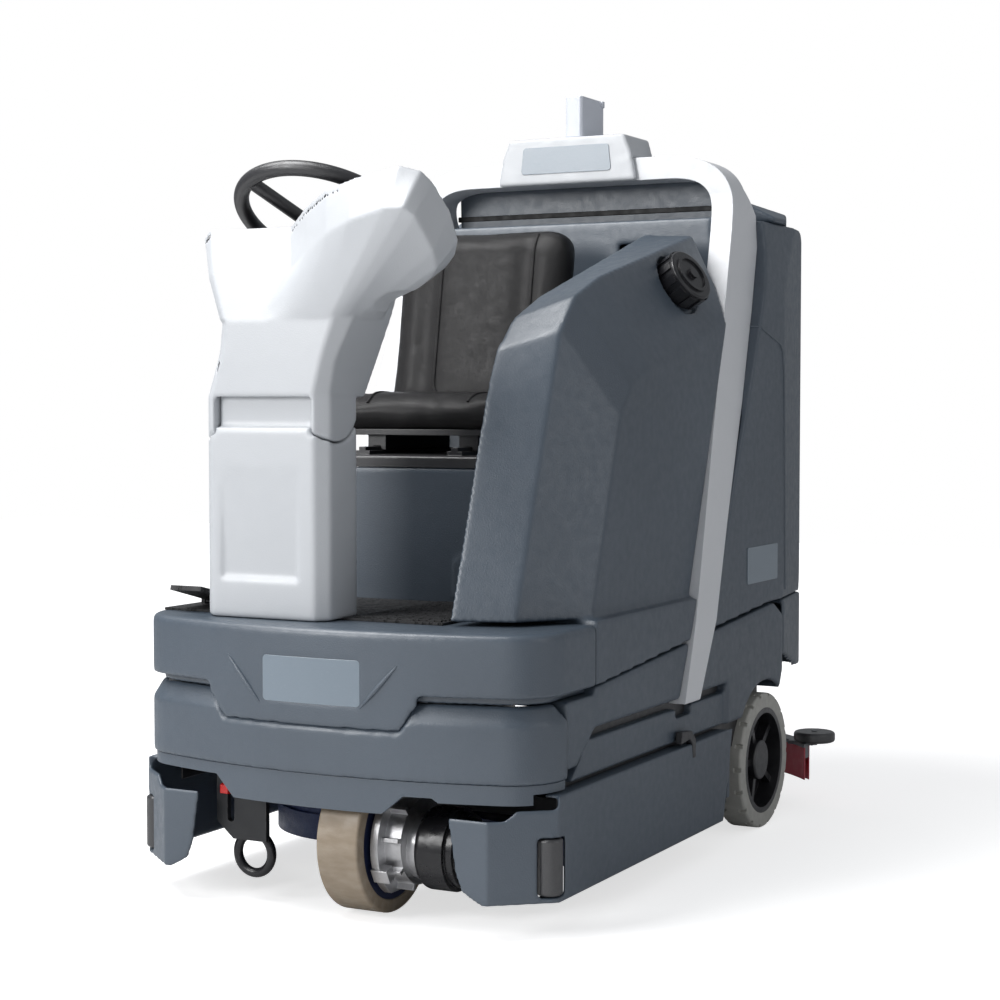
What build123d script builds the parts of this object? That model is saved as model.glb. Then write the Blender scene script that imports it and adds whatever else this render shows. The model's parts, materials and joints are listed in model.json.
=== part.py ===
from build123d import *
from math import cos, radians, sin, sqrt
import os

# Ride-on floor scrubber, in millimetres.
# Origin: the middle of the bounding box, on the floor. The front is -Y, the driver's left is +X.

# ---------------------------------------------------------------- driving dimensions
LENGTH = 1750.0             # front bumper to the rear guard of the squeegee
BODY_WIDTH = 880.0          # over the moulded body
SKIRT_WIDTH = 898.0         # over the side skirts of the brush deck
SQUEEGEE_WIDTH = 1010.0     # over the squeegee's guide rollers
WHEELBASE = 1030.0          # drive axle to rear axle
DRIVE_OVERHANG = 150.0      # bumper ahead of the drive axle

WALL = 8.0                  # moulded walls
PLATE = 10.0                # steel plates
GAP = 0.5                   # between fixed neighbours
SOFT_GAP = 0.3              # between upholstery and what it lies on
CLEAR = 3.0                 # between pieces that pass each other
FIT = 0.05                  # radial clearance of a shaft in its bore

FLOOR_Z = 540.0             # top of the footwell floor
RAIL_Z = 270.0              # underside of the chassis rails
RAIL_HEIGHT = 75.0
RAIL_OUTER = 355.0          # outer side of a chassis rail, from the centre line
RAIL_WIDTH = 55.0

DRIVE_WHEEL_R = 140.0
DRIVE_WHEEL_WIDTH = 88.0
DRIVE_X = 50.0              # the drive wheel stands left of the centre line
REAR_WHEEL_R = 150.0
REAR_WHEEL_WIDTH = 62.0
REAR_RIM_R = 117.0
REAR_AXLE_R = 15.0

BELT_Z = 351.0              # underside of the side belt
BELT_TOP_FRONT = 425.0
BELT_TOP_REAR = 496.0
SILL_Z = 262.0              # underside of the side sill

COLUMN_X = -155.0           # the steering column stands right of the centre line
COLUMN_HALF = 138.0
COLUMN_FRONT_HALF = 114.0
COLUMN_DEPTH = 135.0
COLUMN_FRONT_Y = -795.0
CORE_HALF = 106.0           # middle of the column base, between the head's cheeks
CORE_SETBACK = 17.0         # its front, behind the column's front
TILT_SETBACK = 51.0         # column tilt axis, behind the column's front
TILT_Z = 950.0
TILT_R = 80.0               # round top of the column base, about the tilt axis
TILT_PIN_R = 14.0
TILT_PIN_HALF = 124.0
CHEEK_R = 76.0              # round cheeks of the column head
LIP_Z = 957.0               # lower edge of the column head's front
FIELD_Z = 614.0             # lower edge of the column base's front field
TRAY_TILT = 45.0            # elevation of the control tray's normal
TRAY_DEPTH = 88.0           # height of the band round the control tray
TRAY_WALL = 7.0
TRAY_POCKET = 14.0          # depth of the control panel's recess
WHEEL_TILT = 60.0           # elevation of the steering shaft
STEERING_X = -145.0
STEERING_TURN = -35.0       # turn of the spokes with the drive wheel straight
STEERING_R = 190.0
STEERING_RIM = 30.0         # thickness of the steering wheel's rim
STEERING_SHAFT_R = 20.0
SPOKE_R = 13.0

SEAT_X = -115.0
SEAT_WIDTH = 380.0
SEAT_DEPTH = 400.0
SEAT_DECK_Z = 815.0         # underside of the tilting seat deck
SEAT_DECK_THICKNESS = 23.0
SEAT_BASE_FRONT = -385.0
SEAT_BASE_REAR = 165.0
SEAT_BASE_LEFT = 200.0      # towards the tank wing

WING_INNER = 215.0          # inner wall of the tank wing
WING_CREASE = 330.0         # crease between the front face and the outer slope
WING_OUTER = 422.0
WING_REAR = 137.0

TANK_FRONT = 200.0
TANK_BOTTOM = 500.0
TANK_TOP = 1350.0
TANK_REAR_TOP = 765.0
TANK_REAR_BOTTOM = 641.0
TANK_HALF = 435.0
TANK_CORNER = 430.0         # where its rear corners start to turn in
LID_THICKNESS = 50.0
LID_FRONT = 312.0
LID_FRONT_HALF = 310.0
LID_HALF = 420.0

HOOP_FOOT_X = 452.0         # outer side of the hoop's legs at their feet, from the centre line
HOOP_SHOULDER_X = 401.0     # and at the shoulders: the legs lean in
HOOP_TUBE_X = 50.0
HOOP_FRONT = 205.0          # front of the crossbar
HOOP_TOP = 1488.0
HOOP_TUBE_Z = 50.0
HOOP_WALL = 4.0
BEACON_R = 10.0

DECK_LIFT = 50.0            # travel of the brush deck
BRUSH_R = 214.0
BRUSH_X = 216.0
BRUSH_Y = -270.0
BRISTLE_Z = 54.0            # bristle tips with the deck raised
SKIRT_Z = 64.0              # lower edge of the skirts with the deck raised
SKIRT_TOP = 254.0
ROLLER_R = 24.0             # corner rollers

BLADE_Z = 62.0              # lower edge of the squeegee blades, raised
BLADE_HEIGHT = 80.0
GUIDE_ROLLER_R = 48.0
SUCTION_R = 27.0            # spigots of the suction hose
DRAIN_R = 32.0              # spigot of the drain hose
PIVOT_R = 8.0               # pins of the squeegee linkage

PEDAL_X = -358.0
PEDAL_Y = -634.0            # hinge of the accelerator pedal
PEDAL_Z = 557.0
PEDAL_HALF = 36.0
PEDAL_PIN_R = 4.0
LOOP_X = -185.0             # lashing loop
LOOP_Y = -780.0
LOOP_Z = 92.0
LOOP_R = 38.0
LOOP_WIRE_R = 9.0

# ---------------------------------------------------------------- places worked out from them
HALF = BODY_WIDTH / 2
SKIRT_HALF = SKIRT_WIDTH / 2
FRONT_Y = -LENGTH / 2
REAR_Y = LENGTH / 2
DRIVE_Y = FRONT_Y + DRIVE_OVERHANG
AXLE_Y = DRIVE_Y + WHEELBASE
RAIL_TOP = RAIL_Z + RAIL_HEIGHT
COVER_END = DRIVE_Y + 138.0         # rear edge of the front cover on the left side
BODY_REAR = AXLE_Y + 117.0          # crease where the body turns in at the rear
BELT_CREST = AXLE_Y + 60.0          # highest place of the side belt
TILT_Y = COLUMN_FRONT_Y + TILT_SETBACK
TRAY_NORMAL = (0, cos(radians(TRAY_TILT)), sin(radians(TRAY_TILT)))
TRAY_ORIGIN = (0, COLUMN_FRONT_Y + 80.0, 1265.0)
WHEEL_NORMAL = (0, cos(radians(WHEEL_TILT)), sin(radians(WHEEL_TILT)))
WHEEL_CENTRE = (STEERING_X, COLUMN_FRONT_Y + 220.0, 1300.0)
SEAT_DECK_TOP = SEAT_DECK_Z + SEAT_DECK_THICKNESS
MIN3 = (Align.MIN, Align.MIN, Align.MIN)
UPRIGHT = (Align.CENTER, Align.CENTER, Align.MIN)


# ---------------------------------------------------------------- helpers
def box(x0, x1, y0, y1, z0, z1):
    """A block between two corners."""
    return Pos(x0, y0, z0) * Box(x1 - x0, y1 - y0, z1 - z0, align=MIN3)


def outline(points, radius=0.0):
    """A closed flat outline, with every corner rounded alike."""
    face = make_face(Polyline(*points, close=True))
    return fillet(face.vertices(), radius) if radius else face


def plan(points, z0, z1, radius=0.0):
    """An outline in (x, y), upright from z0 to z1."""
    return extrude(Pos(0, 0, z0) * outline(points, radius), amount=z1 - z0, dir=(0, 0, 1))


def side(points, x0, x1, radius=0.0):
    """An outline in (y, z), from x0 to x1."""
    return extrude(Plane.YZ.offset(x0) * outline(points, radius), amount=x1 - x0, dir=(1, 0, 0))


def front(points, y0, y1, radius=0.0):
    """An outline in (x, z), from y0 to y1."""
    return extrude(Plane.XZ.offset(-y0) * outline(points, radius), amount=y1 - y0, dir=(0, 1, 0))


def rod(start, direction, radius, length):
    """A cylinder that starts at a point and runs along a direction."""
    return Plane(origin=start, z_dir=direction) * Cylinder(radius, length, align=UPRIGHT)


def pipe(start, direction, outer, inner, length):
    """A cylinder with a hole right through it."""
    return rod(start, direction, outer, length) - rod(start, direction, inner, length)


def both(shape):
    """A shape and its mirror image on the other side of the centre line."""
    return shape + mirror(shape, about=Plane.YZ)


def other_side(shape):
    """The mirror image on the other side of the centre line."""
    return mirror(shape, about=Plane.YZ)


# ---------------------------------------------------------------- front mouldings
NOSE_BOW = 1250.0           # radius of the bowed front
NOSE_CORNER = 110.0
BUMPER_Z = 274.0
BUMPER_SHOULDER = 379.0
BUMPER_TOP = 412.0
BUMPER_WALL = 36.0
COVER_Z = 426.0
GROOVE_DEPTH = 22.0
APRON_Z = 212.0
APRON_INSET = 5.0
TONGUE = [(-199, 361), (178, 361), (212, 410), (212, 440), (-238, 440), (-238, 410)]
LABEL_HALF = 104.0
LABEL_HEIGHT = 84.0
LABEL_Z = 402.0
LABEL_THICKNESS = 2.0


def nose_outline(inset, back_y):
    """The plan of the front end: a bowed front, round corners and straight sides."""
    half = HALF - inset
    bow = NOSE_BOW - inset
    corner = NOSE_CORNER - inset
    bow_y = FRONT_Y + NOSE_BOW
    across = half - corner
    corner_y = bow_y - sqrt((bow - corner)**2 - across**2)
    ux, uy = across / (bow - corner), (corner_y - bow_y) / (bow - corner)
    meet = (ux * bow, bow_y + uy * bow)
    mx, my = ux + 1, uy
    size = sqrt(mx**2 + my**2)
    middle = (across + corner * mx / size, corner_y + corner * my / size)
    edges = [
        ThreePointArc((-meet[0], meet[1]), (0, FRONT_Y + inset), meet),
        ThreePointArc(meet, middle, (half, corner_y)),
        Line((half, corner_y), (half, back_y)),
        Line((half, back_y), (-half, back_y)),
        Line((-half, back_y), (-half, corner_y)),
        ThreePointArc((-half, corner_y), (-middle[0], middle[1]), (-meet[0], meet[1])),
    ]
    return make_face(edges)


def nose_block(inset, back_y, z0, z1, taper=0.0):
    """The front end's plan, upright from z0 to z1."""
    return extrude(Pos(0, 0, z0) * nose_outline(inset, back_y), amount=z1 - z0, taper=taper)


def nose_ring(outer, inner, back_y, z0, z1):
    """A wall that follows the front end."""
    return nose_block(outer, back_y, z0, z1) - nose_block(inner, back_y + WALL, z0, z1)


def grown(points, amount):
    """The tongue's outline, larger all round by an amount."""
    middle = sum(x for x, _ in points) / len(points)
    low = min(z for _, z in points)
    return [(x + (amount if x > middle else -amount), z - amount if z == low else z) for x, z in points]


def label_field(outer, inner, margin):
    """The label's place on the nose, between two insets, larger all round by a margin."""
    half = LABEL_HALF + margin
    z0, z1 = LABEL_Z - margin, LABEL_Z + LABEL_HEIGHT + margin
    face = [(-half, z0), (half, z0), (half, z1), (-half, z1)]
    return nose_ring(outer, inner, COVER_END, z0, z1) & front(face, FRONT_Y - 10, FRONT_Y + 60, 8)


def front_cover():
    """Upper front moulding: outer wall, groove wall, tongue, top deck and footwell floor."""
    top = nose_block(0, COVER_END, COVER_Z, FLOOR_Z)
    rim = [e for e in top.edges().group_by(Axis.Z)[-1] if e.center().Y < COVER_END - 1]
    top = fillet(rim, 12)
    hollow = nose_block(WALL, COVER_END + WALL, COVER_Z, FLOOR_Z - WALL)
    groove_wall = nose_ring(GROOVE_DEPTH, GROOVE_DEPTH + WALL, COVER_END, BUMPER_TOP + GAP, FLOOR_Z - WALL)
    tongue = nose_ring(0, WALL, COVER_END, TONGUE[0][1], TONGUE[2][1] + 30)
    tongue &= front(TONGUE, FRONT_Y - 10, FRONT_Y + 60)
    floor = box(-HALF, SEAT_BASE_LEFT + GAP, COVER_END, SEAT_BASE_FRONT - GAP, FLOOR_Z - WALL, FLOOR_Z)
    right_wall = box(-HALF, WALL - HALF, COVER_END, SEAT_BASE_FRONT - GAP, BELT_TOP_FRONT + 22, FLOOR_Z)
    cover = top - hollow + groove_wall + tongue + floor + right_wall
    return cover - label_field(-1.0, LABEL_THICKNESS + GAP / 2, GAP)


def front_bumper():
    """Lower front band with a sloping shoulder and a notch for the cover's tongue."""
    back = DRIVE_Y + 20.0
    band = nose_block(0, back, BUMPER_Z, BUMPER_SHOULDER)
    shoulder = nose_block(0, back, BUMPER_SHOULDER, BUMPER_TOP, taper=32)
    hollow = nose_block(BUMPER_WALL, back + 60, BUMPER_Z, BUMPER_TOP)
    notch = front(grown(TONGUE, 1.5), FRONT_Y - 10, FRONT_Y + 60)
    notch &= nose_ring(-1, WALL + 1.5, back, BUMPER_Z, BUMPER_TOP)
    return band + shoulder - hollow - notch


def front_apron():
    """Lip under the bumper: low in the middle, raised on both sides."""
    back = DRIVE_Y + 15.0
    lip = nose_ring(APRON_INSET, APRON_INSET + WALL, back, APRON_Z, BUMPER_Z - GAP)
    lip -= box(-HALF, HALF, DRIVE_Y - 60, back + 10, APRON_Z - 1, SKIRT_TOP + CLEAR)
    profile = [(-HALF, BUMPER_Z), (-HALF, 252), (-223, 252), (-180, APRON_Z), (143, APRON_Z), (184, 246),
               (238, 246), (250, 238), (HALF, 238), (HALF, BUMPER_Z)]
    flange = nose_ring(APRON_INSET, BUMPER_WALL, back, BUMPER_Z - GAP - 6, BUMPER_Z - GAP)
    return (lip & front(profile, FRONT_Y - 10, back + 10)) + flange


def label_plates():
    """Bare label plates: on the front cover, on the hoop's plate and on each side of the recovery tank."""
    nose = label_field(0.3, LABEL_THICKNESS, 0.0)
    y0 = HOOP_PLATE_FRONT - 1.5
    hoop = front([(-112, 1462), (112, 1462), (106, 1522), (-106, 1522)], y0, y0 + 1.4, 8)
    flank = side([(TANK_FRONT, 550), (TANK_CORNER - 40, 550), (TANK_CORNER - 40, 630), (TANK_FRONT, 630)],
                 TANK_HALF + 0.1, TANK_HALF + 1.5, 5)
    return nose + hoop + both(flank)


# ---------------------------------------------------------------- chassis
STEER_RING_R = 95.0
STEER_RING_Z = RAIL_TOP - PLATE


def chassis_frame():
    """Welded rails, cross members, the steering bearing's plate and the rear axle brackets."""
    rails = both(box(RAIL_OUTER - RAIL_WIDTH, RAIL_OUTER, DRIVE_Y + 20, BODY_REAR + 60, RAIL_Z, RAIL_TOP))
    rails -= both(box(RAIL_OUTER - RAIL_WIDTH + 4, RAIL_OUTER - 4, DRIVE_Y, BODY_REAR + 80, RAIL_Z + 4, RAIL_TOP - 4))
    plate = nose_block(BUMPER_WALL + GAP, DRIVE_Y + 20, RAIL_TOP - PLATE, RAIL_TOP)
    plate += box(-RAIL_OUTER, RAIL_OUTER, DRIVE_Y + 20, DRIVE_Y + 170, RAIL_TOP - PLATE, RAIL_TOP)
    plate -= rod((DRIVE_X, DRIVE_Y, RAIL_TOP - PLATE), (0, 0, 1), STEER_SHAFT_R + FIT, PLATE)
    inner = RAIL_OUTER - RAIL_WIDTH
    crosses = box(-inner, inner, DRIVE_Y + 170, DRIVE_Y + 220, RAIL_Z, RAIL_TOP)
    crosses += box(-inner, inner, SEAT_BASE_REAR - 60, SEAT_BASE_REAR - 20, RAIL_Z + 35, RAIL_TOP)
    crosses += box(-inner, inner, BODY_REAR + 20, BODY_REAR + 60, RAIL_Z, RAIL_TOP)
    tray = box(-inner, inner, SEAT_BASE_FRONT + 30, SEAT_BASE_REAR - 60, RAIL_TOP - 4, RAIL_TOP)
    bracket = side([(AXLE_Y - 60, RAIL_Z), (AXLE_Y - 34, REAR_WHEEL_R - 30), (AXLE_Y + 34, REAR_WHEEL_R - 30),
                    (AXLE_Y + 60, RAIL_Z)], RAIL_OUTER - 3 * PLATE, RAIL_OUTER - PLATE)
    stub = rod((RAIL_OUTER - 4 * PLATE, AXLE_Y, REAR_WHEEL_R), (1, 0, 0), REAR_AXLE_R, HALF - RAIL_OUTER + 2 * PLATE)
    lug = box(-ARM_X - 22, -ARM_X - 12, ARM_Y - 22, BODY_REAR + 60, ARM_Z - 18, RAIL_Z)
    lug += box(-ARM_X + 12, -ARM_X + 22, ARM_Y - 22, BODY_REAR + 60, ARM_Z - 18, RAIL_Z)
    lug -= rod((-ARM_X - 30, ARM_Y, ARM_Z), (1, 0, 0), PIVOT_R + FIT, 60)
    guide = both(box(DECK_GUIDE_X - 20, DECK_GUIDE_X + 20, DECK_GUIDE_Y - 16, DECK_GUIDE_Y - 0.3, 176, RAIL_TOP - 4))
    return rails + plate + crosses + tray + both(bracket + stub) + both(lug) + guide


def belt_top(y):
    """Height of the side belt's top edge at a place along the machine."""
    slope = (BELT_TOP_REAR - BELT_TOP_FRONT) / (BELT_CREST - COVER_END)
    return BELT_TOP_FRONT + slope * (y - COVER_END)


def side_belt():
    """Left side belt with its sill, cut for the wheel and for the hoop's leg."""
    points = [(COVER_END, BELT_Z), (COVER_END, BELT_TOP_FRONT), (BELT_CREST, BELT_TOP_REAR), (BODY_REAR, 466),
              (BODY_REAR, 340), (AXLE_Y + 80, SILL_Z), (75, SILL_Z), (75, BELT_Z)]
    belt = side(points, RAIL_OUTER + GAP, HALF)
    room = offset(outline(points), amount=-WALL, kind=Kind.INTERSECTION)
    belt -= extrude(Plane.YZ.offset(RAIL_OUTER) * room, amount=HALF - WALL - RAIL_OUTER, dir=(1, 0, 0))
    sill = side([(COVER_END - 95, SILL_Z), (COVER_END - 15, 331), (75, 331), (75, SILL_Z)], RAIL_OUTER + GAP, HALF - 8)
    web = box(RAIL_OUTER + GAP, HALF - 45, COVER_END, 75, 325, BELT_Z + 1)
    web += box(RAIL_OUTER + GAP, HALF - 1, AXLE_Y - 200, AXLE_Y + 110, RAIL_TOP - WALL, RAIL_TOP)
    link = side([(DRIVE_Y + 20 + GAP, 290), (DRIVE_Y + 20 + GAP, BUMPER_TOP), (COVER_END, BUMPER_TOP), (COVER_END, BELT_Z),
                 (COVER_END - 80, 290)], RAIL_OUTER + GAP, HALF - 2)
    arch = rod((RAIL_OUTER - 20, AXLE_Y, REAR_WHEEL_R), (1, 0, 0), REAR_WHEEL_R + 28, 120)
    return belt + sill + web + link - arch - hoop_leg_room(2 * GAP)


def rear_plan(inset):
    """Plan of the lower rear moulding, drawn in by an inset."""
    half, y0, y1 = HALF - inset, BODY_REAR + GAP, TANK_REAR_BOTTOM - inset
    return [(half, y0), (half - 38, y1), (half - 110, y1 + 24), (110 - half, y1 + 24), (38 - half, y1), (-half, y0)]


def rear_panel():
    """Lower rear moulding that closes the body behind the rear wheels, with a bevelled lower edge."""
    top = BELT_TOP_REAR + 2
    panel = plan(rear_plan(0), 325, top) - plan(rear_plan(WALL), 325 - WALL, top - WALL)
    panel &= front([(40 - HALF, 320), (HALF - 40, 320), (HALF, 385), (HALF, top), (-HALF, top), (-HALF, 385)], 0, REAR_Y)
    panel -= box(-RAIL_OUTER, RAIL_OUTER, 0, BODY_REAR + 60 + GAP, 300, 600)
    foot = box(-RAIL_OUTER, RAIL_OUTER, BODY_REAR + 60 + GAP, TANK_REAR_BOTTOM, 325, 333)
    return panel + foot


def battery_pack():
    """Four batteries side by side with their terminals and link bars."""
    pack = None
    for i in range(2):
        for j in range(2):
            x0 = -290 + i * 240
            y0 = SEAT_BASE_FRONT + 40 + j * 215
            block = box(x0, x0 + 236, y0, y0 + 210, RAIL_TOP, RAIL_TOP + 360)
            block += box(x0 + 12, x0 + 224, y0 + 12, y0 + 198, RAIL_TOP + 360, RAIL_TOP + 372)
            for dx in (40, 200):
                block += rod((x0 + dx, y0 + 105, RAIL_TOP + 372), (0, 0, 1), 9, 14)
            pack = block if pack is None else pack + block
    pack += box(-292, 188, SEAT_BASE_FRONT + 40, SEAT_BASE_FRONT + 465, RAIL_TOP, RAIL_TOP + 20)
    return pack


# ---------------------------------------------------------------- drive unit
STEER_SHAFT_R = 30.0
MOTOR_Z = 130.0
MOTOR_R = 77.0
GEAR_X = DRIVE_X + DRIVE_WHEEL_WIDTH / 2 + 6.0
GEAR_LENGTH = 50.0
MOTOR_X = GEAR_X + GEAR_LENGTH + 20.0
MOTOR_LENGTH = 92.0
HUB_R = 18.0


def drive_yoke():
    """Steering shaft, turntable and the arm that carries the gearbox."""
    shaft = rod((DRIVE_X, DRIVE_Y, STEER_RING_Z - 4), (0, 0, 1), STEER_SHAFT_R, PLATE + 30)
    table = rod((DRIVE_X, DRIVE_Y, STEER_RING_Z - GAP - 16), (0, 0, 1), STEER_RING_R, 16)
    crown = rod((DRIVE_X, DRIVE_Y, RAIL_TOP + GAP), (0, 0, 1), STEER_RING_R - 20, 14)
    arm = box(GEAR_X, GEAR_X + 40, DRIVE_Y - 45, DRIVE_Y + 45, 240, STEER_RING_Z - GAP - 10)
    return shaft + table + crown + arm - rod((GEAR_X - 10, DRIVE_Y, MOTOR_Z + 8), (1, 0, 0), 105.3, 80)


def drive_gearbox():
    """Cast gearbox beside the wheel: a flanged housing with cooling ribs and clamp lugs."""
    housing = rod((GEAR_X, DRIVE_Y, MOTOR_Z + 8), (1, 0, 0), 80, GEAR_LENGTH)
    flange = rod((GEAR_X, DRIVE_Y, MOTOR_Z + 8), (1, 0, 0), 105, 16)
    neck = rod((GEAR_X + GEAR_LENGTH, DRIVE_Y, MOTOR_Z), (1, 0, 0), 60, MOTOR_X - GEAR_X - GEAR_LENGTH)
    body = housing + flange + neck
    for i in range(9):
        turn = Pos(GEAR_X, DRIVE_Y, MOTOR_Z + 8) * Rot(X=i * 40)
        body += turn * box(16, GEAR_LENGTH, -4, 4, 60, 92)
    body += Pos(GEAR_X, DRIVE_Y, MOTOR_Z + 8) * Rot(X=118) * box(0, 34, -14, 14, 90, 110)
    axle = rod((DRIVE_X - DRIVE_WHEEL_WIDTH / 2 + 6, DRIVE_Y, DRIVE_WHEEL_R), (1, 0, 0), HUB_R, DRIVE_WHEEL_WIDTH)
    floor_cut = box(0, 400, DRIVE_Y - 200, DRIVE_Y + 200, -50, 48)
    return body + axle - floor_cut


def drive_motor():
    """Round drive motor with a stepped brake cover at its end."""
    can = rod((MOTOR_X, DRIVE_Y, MOTOR_Z), (1, 0, 0), MOTOR_R, MOTOR_LENGTH - 30)
    can = fillet(can.edges().group_by(Axis.X)[0], 14)
    step = rod((MOTOR_X + MOTOR_LENGTH - 32, DRIVE_Y, MOTOR_Z), (1, 0, 0), MOTOR_R - 8, 18)
    cap = rod((MOTOR_X + MOTOR_LENGTH - 16, DRIVE_Y, MOTOR_Z), (1, 0, 0), MOTOR_R - 16, 16)
    cap = fillet(cap.edges().group_by(Axis.X)[-1], 10)
    return can + step + cap


def drive_tyre():
    """Solid tread band of the drive wheel."""
    x0 = DRIVE_X - DRIVE_WHEEL_WIDTH / 2
    centre = (x0, DRIVE_Y, DRIVE_WHEEL_R)
    band = rod(centre, (1, 0, 0), DRIVE_WHEEL_R, DRIVE_WHEEL_WIDTH)
    band = chamfer(band.edges(), 3)
    return band - rod(centre, (1, 0, 0), DRIVE_WHEEL_R - 25, DRIVE_WHEEL_WIDTH)


def drive_rim():
    """Cast wheel body with a raised hub and a ring of wheel nuts."""
    x0 = DRIVE_X - DRIVE_WHEEL_WIDTH / 2
    centre = (x0 + 2, DRIVE_Y, DRIVE_WHEEL_R)
    rim = rod(centre, (1, 0, 0), DRIVE_WHEEL_R - 25, DRIVE_WHEEL_WIDTH - 4)
    rim -= rod((x0 + 2, DRIVE_Y, DRIVE_WHEEL_R), (1, 0, 0), DRIVE_WHEEL_R - 38, 14)
    for i in range(5):
        place = Pos(x0 + 16, DRIVE_Y, DRIVE_WHEEL_R) * Rot(X=i * 72)
        rim += place * rod((0, 0, 62), (-1, 0, 0), 9, 10)
    return rim - rod((x0, DRIVE_Y, DRIVE_WHEEL_R), (1, 0, 0), HUB_R + FIT, DRIVE_WHEEL_WIDTH)


# ---------------------------------------------------------------- rear wheels
def rear_tyre():
    """Left rear tyre: a thick tread ring with notches across its shoulders."""
    x1 = HALF - 1
    x0 = x1 - REAR_WHEEL_WIDTH
    tyre = rod((x0, AXLE_Y, REAR_WHEEL_R), (1, 0, 0), REAR_WHEEL_R, REAR_WHEEL_WIDTH)
    tyre = fillet(tyre.edges(), 6)
    tyre -= rod((x0, AXLE_Y, REAR_WHEEL_R), (1, 0, 0), REAR_RIM_R, REAR_WHEEL_WIDTH)
    for i in range(18):
        place = Pos(0, AXLE_Y, REAR_WHEEL_R) * Rot(X=i * 20 + 10)
        tyre -= place * box(x1 - 16, x1 + 1, -5, 5, REAR_WHEEL_R - 7, REAR_WHEEL_R + 1)
        tyre -= place * box(x0 - 1, x0 + 16, -5, 5, REAR_WHEEL_R - 7, REAR_WHEEL_R + 1)
    return tyre


def rear_rim():
    """Left rear rim: a barrel, five ribs, a hub and its cap."""
    x1 = HALF - 1
    x0 = x1 - REAR_WHEEL_WIDTH
    centre = (x0, AXLE_Y, REAR_WHEEL_R)
    barrel = pipe(centre, (1, 0, 0), REAR_RIM_R, REAR_RIM_R - 12, REAR_WHEEL_WIDTH)
    disc = rod((x0 + 8, AXLE_Y, REAR_WHEEL_R), (1, 0, 0), REAR_RIM_R - 8, 12)
    hub = rod(centre, (1, 0, 0), 44, REAR_WHEEL_WIDTH - 6)
    hub = fillet(hub.edges().group_by(Axis.X)[-1], 5)
    rim = barrel + disc + hub
    for i in range(5):
        place = Pos(0, AXLE_Y, REAR_WHEEL_R) * Rot(X=i * 72 + 20)
        rim += place * box(x0 + 20, x0 + 44, -7, 7, 40, REAR_RIM_R - 8)
    bore = rod((x0 - 5, AXLE_Y, REAR_WHEEL_R), (1, 0, 0), REAR_AXLE_R + FIT, HALF - x0 - 12)
    return rim - bore


# ---------------------------------------------------------------- hoop
HOOP_LOW = BELT_Z - 10.0
HOOP_SHOULDER_Z = 1335.0
# The legs' front and rear lines, as (y, z) from the foot upwards.
HOOP_AHEAD = [(-190, HOOP_LOW), (-112, 504), (-39, 704), (45, 939), (119, 1143), (185, 1320), (HOOP_FRONT, 1400)]
HOOP_BEHIND = [(-110, HOOP_LOW), (-2, 493), (85, 697), (198, 939), (285, 1150), (335, 1290), (335, 1360),
               (HOOP_FRONT + 85, 1415)]
HOOP_PLATE_FRONT = HOOP_FRONT - 14.0
HOOP_JOINT = 205.0          # joints between the hoop's crossbar and its sides, from the centre line


def hoop_arch(edge, top, reach, shoulder_z):
    """Front view of an arch whose legs lean in and whose shoulders are soft, given its outer line."""
    lean = (HOOP_FOOT_X - HOOP_SHOULDER_X) / (HOOP_SHOULDER_Z - HOOP_LOW)
    start = (edge + lean * (HOOP_SHOULDER_Z - shoulder_z), shoulder_z)
    bend = [start, (edge - 1, top - 0.25 * (top - shoulder_z)), (edge - 0.25 * reach, top), (edge - reach, top)]
    low = HOOP_LOW - 40
    base = (edge + lean * (HOOP_SHOULDER_Z - low), low)
    edges = [Line(base, start), Bezier(*bend), Line(bend[-1], (-bend[-1][0], top)),
             Bezier(*[(-x, z) for x, z in bend[::-1]]), Line((-start[0], start[1]), (-base[0], low)),
             Line((-base[0], low), base)]
    return extrude(Plane.XZ.offset(400) * make_face(edges), amount=900, dir=(0, 1, 0))


def hoop_side(grow, drop=0.0, behind=None):
    """Side view of the hoop, larger by an amount and longer below, or all that is behind its front line."""
    ahead = [(y - grow, z) for y, z in HOOP_AHEAD] + [(HOOP_FRONT - grow, HOOP_TOP + 20)]
    rear = [(y + grow, z) for y, z in HOOP_BEHIND] + [(HOOP_FRONT + 85 + grow, HOOP_TOP + 20)]
    if drop:
        ahead = [(ahead[0][0], HOOP_LOW - drop)] + ahead
        rear = [(rear[0][0], HOOP_LOW - drop)] + rear
    if behind is not None:
        rear = [(behind, rear[0][1]), (behind, rear[-1][1])]
    return ahead + rear[::-1]


def hoop_body(inset):
    """The hoop as one piece, drawn in by an inset."""
    outer = hoop_arch(HOOP_SHOULDER_X - inset, HOOP_TOP - inset, 190.0, HOOP_SHOULDER_Z)
    inner = hoop_arch(HOOP_SHOULDER_X - HOOP_TUBE_X + inset, HOOP_TOP - HOOP_TUBE_Z + inset, 110.0, HOOP_SHOULDER_Z + 10)
    return (outer - inner) & side(hoop_side(-inset), -HALF - 40, HALF + 40)


def hoop_leg_room(grow):
    """Space that the hoop's legs take in the panels beside them, open to the outside."""
    inner = hoop_arch(HOOP_SHOULDER_X - HOOP_TUBE_X - grow, HOOP_TOP - HOOP_TUBE_Z - grow, 110.0, HOOP_SHOULDER_Z + 10)
    return side(hoop_side(grow, drop=30), -HALF - 60, HALF + 60) - inner


def behind_hoop(grow):
    """Space behind the front line of the hoop's left leg, outside of its inner side."""
    inner = hoop_arch(HOOP_SHOULDER_X - HOOP_TUBE_X - grow, HOOP_TOP - HOOP_TUBE_Z - grow, 110.0, HOOP_SHOULDER_Z + 10)
    return side(hoop_side(grow, drop=30, behind=400.0), -HALF - 60, HALF + 60) - inner


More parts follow.
